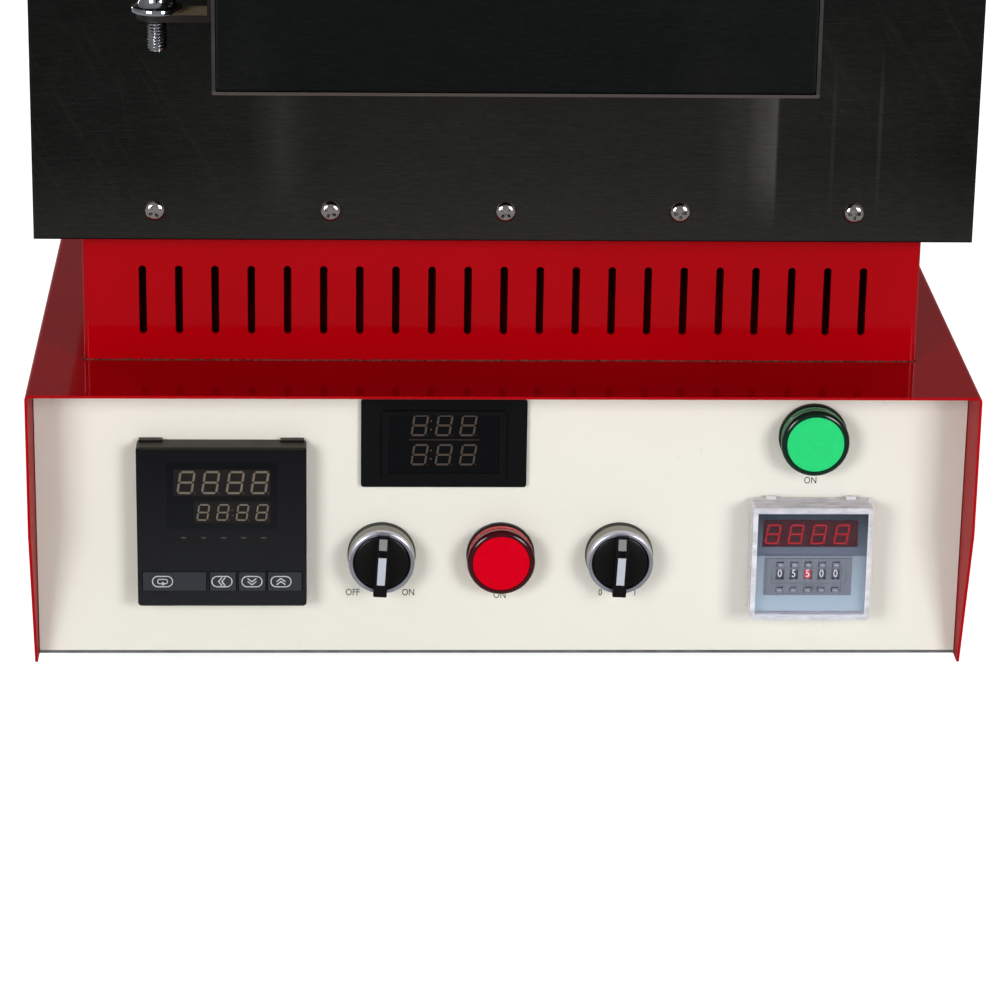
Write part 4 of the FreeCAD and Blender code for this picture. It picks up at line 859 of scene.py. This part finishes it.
def switch_bezels():
    """Stepped bezels of the selector switches, with a dark gasket against the panel."""
    parts = (("bezel", SILVER, "silver_bezel",
              [(12.1, 8.2), (12.1, 10.9), (12.4, 11.4), (13.4, 11.5), (13.9, 11.2), (14.15, 10.6),
               (14.15, 8.7), (13.8, 8.2)]),
             ("band", BEZEL_BAND, "silver_bezel",
              [(12.1, 8.3), (13.85, 8.3), (14.25, 4.4), (14.25, 3.1), (12.1, 3.1)]),
             ("gasket", GASKET, "black_plastic",
              [(0, 2.4), (11.9, 2.4), (11.9, 3.2), (14.1, 3.2), (14.4, 2.9), (14.4, 2.0), (14.15, 1.7),
               (14.65, 1.5), (14.65, 0.2), (14.4, 0.0), (11.0, 0.0), (11.0, -34.0), (0, -34.0)]))
    for switch in ("heating_switch", "timing_switch"):
        for part, material, slot_name, profile in parts:
            piece = turned_piece("%s_%s" % (switch, part), profile, switch_seat(switch), material, "furnace")
            if piece.name == "heating_switch_bezel":
                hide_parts("switch_bodies")


def add_block(bm, corners, half, depth_of=lambda z: 0.0):
    """Adds a bar across X; its side view has corners of height and depth, measured from depth_of."""
    add_solid(bm, [[(side * half * MM, -(depth_of(z) + depth) * MM, z * MM) for z, depth in corners]
                   for side in (-1, 1)])


def lever_front(z):
    """How far the lever's front stands before the panel: level, then sloping back to its top."""
    return 17.0 - max(0.0, z - 4.5) * 0.55


def selector_knobs():
    """Selector knobs: a bevelled disc and a lever with pale inlays, turned slightly off the upright."""
    disc_profile = [(0, 11.1), (11.0, 11.1), (11.6, 10.8), (11.95, 10.2), (11.95, 2.6), (5.0, 2.6),
                    (5.0, -14.0), (0, -14.0)]
    lever_side = [(-13.75, 11.8), (-11.5, 11.8), (-11.5, 10.8), (11.5, 10.8), (11.5, 11.6), (12.2, 11.6),
                  (12.2, 12.7), (4.5, 17.0), (-13.2, 17.0), (-13.75, 16.4)]
    for switch, lean in (("heating_switch", 3.4), ("timing_switch", 2.6)):
        place = switch_seat(switch)
        seat = Matrix.Translation(place) @ Matrix.Rotation(math.radians(lean), 4, "Y")
        disc = turned_piece(switch + "_disc", disc_profile, place, KNOB, switch)
        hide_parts(switch + "_knob")
        bm = bmesh.new()
        add_block(bm, lever_side, 2.9)
        bmesh.ops.bevel(bm, geom=list(bm.edges), offset=0.3 * MM, segments=2, affect="EDGES",
                        clamp_overlap=True)
        bm.transform(seat)
        new_piece(switch + "_lever", bm, KNOB, switch)
        # The upper inlay is the same pale inlay as the lower one, painted grey as a painted reflection on
        # its slope
        for part, half, z0, z1, proud, material in (("inlay", 1.7, -7.9, 4.5, 0.10, INLAY),
                                                    ("inlay_top_painted_reflection", 1.7, 7.3, 11.6, 0.08, INLAY_PAINTED_REFLECTION),
                                                    ("square", 1.3, 4.6, 7.2, 0.06, WINDOW)):
            bm = bmesh.new()
            add_block(bm, [(z0, -0.3), (z0, proud), (z1, proud), (z1, -0.3)], half, lever_front)
            bm.transform(seat)
            new_piece("%s_%s" % (switch, part), bm, material, switch)


# Timer


def timer_details():
    """The red window with its digits, the wheel module's fine lines with a painted shadow line, and a plus
    or minus on each button.
    """
    wheel_x, wheel_z = wheel_row_middle()

    def around_wheels(x0, x1, z0, z1):
        return rectangle(wheel_x + x0 * MM, wheel_x + x1 * MM, wheel_z + z0 * MM, wheel_z + z1 * MM)

    face = min(low.y for low, high in islands("display_windows") if low.x > 0.08)
    window_front = face - 0.04 * MM
    bm = bmesh.new()
    add_plate(bm, around_wheels(-20.0, 20.9, 12.4, 24.5), face + 0.3 * MM, window_front)
    new_piece("timer_window", bm, RED_WINDOW, "furnace")
    display_digits("timer_digits", wheel_x - 19.2 * MM, wheel_z + 13.8 * MM, 4, 9.85, (5.9, 8.8, 0.58),
                   window_front, RED_SEGMENT)
    module_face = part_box("plus_button_1")[0].y + 1.1 * MM
    bm = bmesh.new()
    # Printed lines of the wheel module; the outer frame's left line is a painted shadow along the module's
    # edge
    for line in ((-15.6, 16.4, -4.1, -3.95), (-15.6, 16.4, 2.9, 3.05), (-15.6, -15.4, -4.1, 3.0),
                 (16.2, 16.4, -4.1, 3.0), (14.3, 14.5, -8.2, 3.0), (-18.0, 18.4, 7.3, 7.6),
                 (-18.0, -17.8, -8.6, 7.6)):
        add_plate(bm, around_wheels(*line), module_face, module_face - PRINT)
    new_piece("module_lines_and_painted_shadow", bm, DARK_GREY, "furnace")
    for sign in ("plus", "minus"):
        for index in range(1, 6):
            button = "%s_button_%d" % (sign, index)
            middle = middle_of(button)
            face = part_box(button)[0].y
            bm = bmesh.new()
            add_bar(bm, middle.x, middle.z, 0.75, 0.17, face)
            if sign == "plus":
                add_bar(bm, middle.x, middle.z, 0.12, 0.55, face, PRINT * 1.2)
            new_piece(button + "_mark", bm, PALE_MARK, button)


def wheel_numbers():
    """Numbers 0 to 9 on the flats of each digit wheel, set so that the window shows the wheel's reading."""
    for index, reading in enumerate((0, 5, 5, 0, 0)):
        wheel = "digit_wheel_%d" % (index + 1)
        low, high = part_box(wheel)
        axle = (low + high) / 2
        face = axle.y - (high.z - low.z) / 2 * math.cos(math.pi / 10)
        print_outline = rectangle(axle.x - 1.5 * MM, axle.x + 1.5 * MM, axle.z - 1.9 * MM, axle.z + 1.9 * MM)
        prints = bmesh.new()
        for step in range(10):
            number = (reading + step) % 10
            turn = Matrix.Rotation(math.radians(36 * step), 4, "X")
            about_axle = Matrix.Translation(axle) @ turn @ Matrix.Translation(-axle)
            piece = lettering("%s_number_%d" % (wheel, number), str(number), axle.x, axle.z, 4.9, face,
                              WHITE_INK, wheel, 0.82)
            piece.data.transform(about_axle)
            add_solid(prints, [[about_axle @ Vector((x, depth, z)) for x, z in print_outline]
                               for depth in (face, face - PRINT * 0.6)])
        if index == 2:
            new_piece("red_wheel_print", prints, RED_PATCH, wheel)
        else:
            prints.free()


# Screws and hinge pins


def cross_head_mesh(radius, height):
    """A pan head with a cross recess; it stands on Z zero and points up."""
    flat = radius * 0.3
    depth = height * 0.9
    dome = [(0, height), (flat, height)]
    for step in range(1, 8):
        angle = math.radians(90 * step / 7)
        reach = flat + (radius - flat) * math.sin(angle)
        dome.append((reach, height * 0.25 + height * 0.75 * math.cos(angle)))
    dome += [(radius, 0), (0, 0)]
    bm = bmesh.new()
    add_turned(bm, dome, 48)
    head = bpy.data.objects.new("head", mesh_from(bm, "head"))
    bm = bmesh.new()
    for turn in (0, 90):
        blade = bmesh.ops.create_cube(bm, size=1.0)["verts"]
        for vertex in blade:
            taper = 1.0 if vertex.co.z > 0 else 0.55
            vertex.co = Vector((vertex.co.x * radius * 1.3 * taper, vertex.co.y * radius * 0.3,
                                height - depth / 2 + vertex.co.z * depth * 1.05))
        quarter = Matrix.Rotation(math.radians(turn), 3, "Z")
        bmesh.ops.rotate(bm, verts=blade, cent=(0, 0, 0), matrix=quarter)
    cutter = bpy.data.objects.new("cutter", mesh_from(bm, "cutter"))
    for holder in (head, cutter):
        bpy.context.scene.collection.objects.link(holder)
    cut = head.modifiers.new("recess", "BOOLEAN")
    cut.operation = "DIFFERENCE"
    cut.object = cutter
    cut.solver = "EXACT"
    cut.use_self = True
    bpy.context.view_layer.update()
    evaluated = head.evaluated_get(bpy.context.evaluated_depsgraph_get())
    mesh = bpy.data.meshes.new_from_object(evaluated)
    bpy.data.objects.remove(head)
    bpy.data.objects.remove(cutter)
    smooth_over(mesh)
    return mesh


def screw_direction(size, low):
    """Where a screw points: along its shortest side, outward from the furnace."""
    if size.x < size.y and size.x < size.z:
        return (1, 0, 0) if low.x > 0 else (-1, 0, 0)
    return (0, 1, 0) if low.y > 0 else TOWARD_VIEWER


def cross_head_screws(node, material, growth=1.0):
    """Puts a cross-recessed head over each plain head of a CAD node."""
    rng = random.Random(7)
    bm = bmesh.new()
    pattern = None
    for low, high in islands(node):
        size = high - low
        direction = screw_direction(size, low)
        axis = max(range(3), key=lambda index: abs(direction[index]))
        if pattern is None:
            pattern = cross_head_mesh(max(size) / 2 * growth, size[axis])
        seat = (low + high) / 2
        seat[axis] = low[axis] if direction[axis] > 0 else high[axis]
        copy = pattern.copy()
        spin = Matrix.Rotation(rng.uniform(0, math.pi / 2), 4, "Z")
        copy.transform(facing(seat, direction) @ spin)
        bm.from_mesh(copy)
        bpy.data.meshes.remove(copy)
    piece = new_piece(node + "_heads", bm, material, "furnace", smooth=True)
    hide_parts(node)


def add_thread(bm, x, y, bottom, top, radius, pitch):
    """Adds a threaded rod with a pointed profile that climbs round it."""
    segments = 36
    rows = int((top - bottom) / (pitch / 8))
    depth = 0.55 * MM
    lead_in = 0.8 * MM
    rings = []
    for row in range(rows + 1):
        z = bottom + (top - bottom) * row / rows
        swell = 0.86 + 0.14 * min(1.0, (z - bottom) / lead_in)
        ring = []
        for step in range(segments):
            phase = (z / pitch - step / segments) % 1.0
            reach = (radius - depth * abs(2 * phase - 1)) * swell
            angle = 2 * math.pi * step / segments
            ring.append((x + reach * math.cos(angle), y + reach * math.sin(angle), z))
        rings.append(ring)
    add_solid(bm, rings)


def hinge_pins():
    """Hexagon bolts with a real thread below each lug, in place of the plain pins."""
    radius = 4.0 * MM
    pitch = 1.25 * MM
    thread_length = 12.9 * MM
    head_height = 5.3 * MM
    corner = 7.5 * MM
    chamfer = 0.9 * MM
    bm = bmesh.new()
    for low, high in islands("hinge_pins"):
        x = (low.x + high.x) / 2
        y = (low.y + high.y) / 2
        thread_top = low.z + thread_length
        head_foot = high.z - head_height
        seat = Matrix.Translation((x, y, 0))
        add_thread(bm, x, y, low.z, thread_top + 1 * MM, radius, pitch)
        add_turned(bm, [(0, thread_top), (radius, thread_top), (radius, head_foot), (0, head_foot)],
                   40, seat)
        add_turned(bm, [(0, head_foot), (corner, head_foot), (corner, high.z - chamfer),
                        (corner - 1.3 * MM, high.z), (0, high.z)], 6, seat)
    piece = new_piece("threaded_pins", bm, CHROME, "door", smooth=True)
    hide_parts("hinge_pins")


def flange_nuts():
    """A polished flange that flares out round the foot of each hinge nut."""
    profile = [(0, 5.6), (7.0, 5.6), (7.2, 4.6), (7.7, 3.6), (8.6, 2.7), (9.6, 2.2), (10.1, 2.05),
               (10.25, 1.8), (10.25, 0.2), (10.1, -0.03), (0, -0.03)]
    scaled = [(radius * MM, height * MM) for radius, height in profile]
    smallest_washer = 15 * MM
    bm = bmesh.new()
    for low, high in islands("door_fasteners"):
        if high.x - low.x > smallest_washer:
            foot = Vector(((low.x + high.x) / 2, (low.y + high.y) / 2, low.z))
            add_turned(bm, scaled, 64, Matrix.Translation(foot))
    new_piece("nut_flanges", bm, POLISHED, "door", smooth=True)


def door_rim():
    """The folded front edge of the door's sheet, slightly proud all round, in a steel that carries painted
    highlights.
    """
    low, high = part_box("door_shell")
    side = 0.6 * MM
    above = 0.45 * MM
    inside = 0.8 * MM
    outer = rounded_outline(low.x - side, high.x + side, low.z - above, high.z + above, 0.8 * MM)
    inner = rounded_outline(low.x + inside, high.x - inside, low.z + inside, high.z - inside, 0.5 * MM)
    bm = bmesh.new()
    add_ring(bm, outer, inner, low.y + 2.2 * MM, low.y - PRINT)
    new_piece("door_rim", bm, RIM_HIGHLIGHT, "door")


def vent_hoods():
    """Pressed hoods over the upright vent slots in the two rear panels, open along one side."""
    section = ((-3.2, 0.0), (-2.8, 1.2), (-1.6, 2.2), (0.0, 2.7), (3.0, 2.9), (3.0, 2.1), (0.0, 1.9),
               (-1.2, 1.5), (-2.0, 0.8), (-2.3, 0.0))
    flat_end = 0.02
    base = [(20.0 + 12.0 * column, bottom, bottom + 28.0) for column in range(9) for bottom in (40.5, 80.5)]
    casing = [(18.0 * column, 526.4, 566.4) for column in range(-3, 4)]
    for panel, slots in (("base_rear_panel", base), ("casing_rear_panel", casing)):
        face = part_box(panel)[1].y
        bm = bmesh.new()
        for x, bottom, top in slots:
            levels = ((bottom - 1.6, flat_end), (bottom - 0.2, 1.0), (top + 0.2, 1.0), (top + 1.6, flat_end))
            add_solid(bm, [[((x + dx) * MM, face + dy * swell * MM, z * MM) for dx, dy in section]
                           for z, swell in levels])
        new_piece(panel + "_hoods", bm, RED, "furnace")


# Sealant and heating coils


def sealant_bead():
    """A thin, uneven bead of sealant where the plinth stands on the base."""
    rng = random.Random(3)
    low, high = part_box("plinth")
    corners = [Vector(corner + (low.z,)) for corner in rectangle(low.x, high.x, low.y, high.y)]
    buried = 0.1 * MM
    bm = bmesh.new()
    for start, end in zip(corners, corners[1:] + corners[:1]):
        run = end - start
        outward = Vector((run.y, -run.x, 0)).normalized()
        steps = int(run.length / (1.2 * MM))
        rows = []
        for step in range(steps + 1):
            spot = start + run * (step / steps)
            reach = rng.uniform(0.2, 0.65) * MM
            rise = Vector((0, 0, rng.uniform(0.3, 0.75) * MM))
            rows.append([bm.verts.new(spot - outward * buried), bm.verts.new(spot + outward * reach),
                         bm.verts.new(spot + outward * reach * 0.75 + rise * 0.6),
                         bm.verts.new(spot - outward * buried + rise)])
        for near, far in zip(rows, rows[1:]):
            for index in range(3):
                bm.faces.new((near[index], near[index + 1], far[index + 1], far[index]))
    new_piece("sealant_bead", bm, SEALANT, "furnace")


def add_wire(bm, points, radius, sides=5):
    """Adds a round wire through a list of points."""
    rings = []
    for index, point in enumerate(points):
        ahead = points[min(index + 1, len(points) - 1)] - points[max(index - 1, 0)]
        side = ahead.cross(Vector((0.3, 0.2, 1.0))).normalized()
        above = ahead.cross(side).normalized()
        rings.append([point + side * spot.x + above * spot.y for spot in circle(radius, 0, sides)])
    add_solid(bm, rings)


def heating_coils():
    """Wound wire in the grooves of both side walls, in place of the plain bars."""
    rows = 4
    wire = 0.6 * MM
    pitch = 3.2 * MM
    turn_steps = 9
    rear_wall = 41 * MM
    up = Vector((1, 0, 0))
    bm = bmesh.new()
    for low, high in islands("heating_elements"):
        coil = (high.x - low.x) / 2 - wire
        margin = coil + wire
        x = (low.x + high.x) / 2
        bottom = low.z + margin
        top = high.z - margin
        front = low.y + margin
        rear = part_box("muffle")[1].y - rear_wall
        levels = [top + (bottom - top) * row / (rows - 1) for row in range(rows)]
        corners = [Vector((x, rear, levels[0]))]
        for row, level in enumerate(levels):
            ends = (rear, front) if row % 2 == 0 else (front, rear)
            corners += [Vector((x, y, level)) for y in ends]
        points = [Vector((x, high.y, levels[0]))]
        for start, end in zip(corners, corners[1:]):
            run = end - start
            if run.length < 1e-6:
                continue
            side = run.normalized().cross(up)
            steps = max(1, round(run.length / pitch)) * turn_steps
            for step in range(steps + 1):
                angle = 2 * math.pi * step / turn_steps
                winding = (up * math.cos(angle) + side * math.sin(angle)) * coil
                points.append(start + run * (step / steps) + winding)
        points.append(Vector((x, high.y, levels[-1])))
        add_wire(bm, points, wire)
    piece = new_piece("heating_coils", bm, ALLOY, "furnace", smooth=True)
    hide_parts("heating_elements")


# Camera, light and stage


def place_camera():
    """A camera that stands, leans and turns as the one that took the photograph."""
    pitch = math.radians(CAMERA_PITCH)
    yaw = math.radians(CAMERA_YAW)
    roll = math.radians(CAMERA_ROLL)
    ahead = Vector((math.sin(yaw) * math.cos(pitch), math.cos(yaw) * math.cos(pitch), -math.sin(pitch)))
    level = Vector((math.cos(yaw), -math.sin(yaw), 0))
    above = level.cross(ahead)
    right = level * math.cos(roll) + above * math.sin(roll)
    up = above * math.cos(roll) - level * math.sin(roll)
    data = bpy.data.cameras.new("photo_camera")
    data.sensor_width = SENSOR_WIDTH
    data.sensor_fit = "HORIZONTAL"
    data.lens = FOCAL_PIXELS / PHOTO_PIXELS * SENSOR_WIDTH
    data.clip_end = 50.0
    camera = bpy.data.objects.new("photo_camera", data)
    bpy.context.scene.collection.objects.link(camera)
    turn = Matrix((right, up, -ahead)).transposed().to_4x4()
    place = Vector(CAMERA_PLACE) * MM + Vector((0, PANEL_Y, 0))
    camera.matrix_world = Matrix.Translation(place) @ turn
    bpy.context.scene.camera = camera


def light_stage():
    """Two square softboxes in front of the furnace and two behind it."""
    for name, (x, y, z), aim_z, power in LAMPS:
        for place in (Vector((-x, y, z)), Vector((x, y, z))):
            data = bpy.data.lights.new(name, "AREA")
            data.shape = "SQUARE"
            data.size = LAMP_SIZE
            data.energy = power
            lamp = bpy.data.objects.new(name, data)
            lamp.visible_camera = False
            bpy.context.scene.collection.objects.link(lamp)
            lamp.location = place
            lamp.rotation_euler = (Vector((0, 0, aim_z)) - place).to_track_quat("-Z", "Y").to_euler()


def by_ray(owner, other, mirrored, shown):
    """Picks a number or socket by the kind of ray: mirrored in gloss, shown to camera and through glass."""
    path = add_node(owner, "LightPath").outputs
    value = other
    for kind, when_on in (("Glossy", mirrored), ("Camera", shown), ("Transmission", shown)):
        step = add_node(owner, "Mix")
        for name, entry in (("Factor", path["Is %s Ray" % kind]), ("A", value), ("B", when_on)):
            link(owner, entry, step.inputs[name])
        value = step.outputs["Result"]
    return value


def white_world():
    """White where it is seen; metal shows it white behind the furnace and as a dimmer studio in front."""
    world = bpy.data.worlds.new("studio")
    bpy.context.scene.world = world
    world.use_nodes = True
    shade = world.node_tree.nodes["Background"]
    shade.inputs["Color"].default_value = (1, 1, 1, 1)
    direction = parts_of(world, add_node(world, "TexCoord").outputs["Generated"])
    mirrored = remapped(world, direction["Y"], -0.7, 0.3, FRONT_MIRRORED, REAR_MIRRORED)
    link(world, by_ray(world, WORLD_LIGHT, mirrored, 1.0), shade.inputs["Strength"])


def pale_floor():
    """A floor that is white where it is seen and dimmer where paint and metal mirror it."""
    material = plain_material("pale floor", FLOOR_COLOUR, 0.9, specular=0.0)
    shader_of(material).inputs["Emission Color"].default_value = (1, 1, 1, 1)
    glossy = add_node(material, "LightPath").outputs["Is Glossy Ray"]
    set_colour(material, glossy, FLOOR_COLOUR, (0, 0, 0, 1))
    set_input(material, "Emission Strength", by_ray(material, 0.0, FLOOR_MIRRORED, FLOOR_SHOWN))
    bpy.ops.mesh.primitive_plane_add(size=FLOOR_SIZE, location=(0, 0, 0))
    plane = bpy.context.object
    plane.name = "studio_floor"
    plane.data.materials.append(material)


bpy.context.scene.view_settings.view_transform = "Standard"
place_camera()
light_stage()
white_world()
pale_floor()
paint_cad_nodes()
controller_details()
key_symbols()
meter_details()
panel_labels()
lamps()
switch_bezels()
selector_knobs()
timer_details()
wheel_numbers()
cross_head_screws("front_plate_screws", SCREW_STEEL, growth=1.14)
cross_head_screws("cabinet_screws", CHROME)
hinge_pins()
flange_nuts()
door_rim()
vent_hoods()
sealant_bead()
heating_coils()
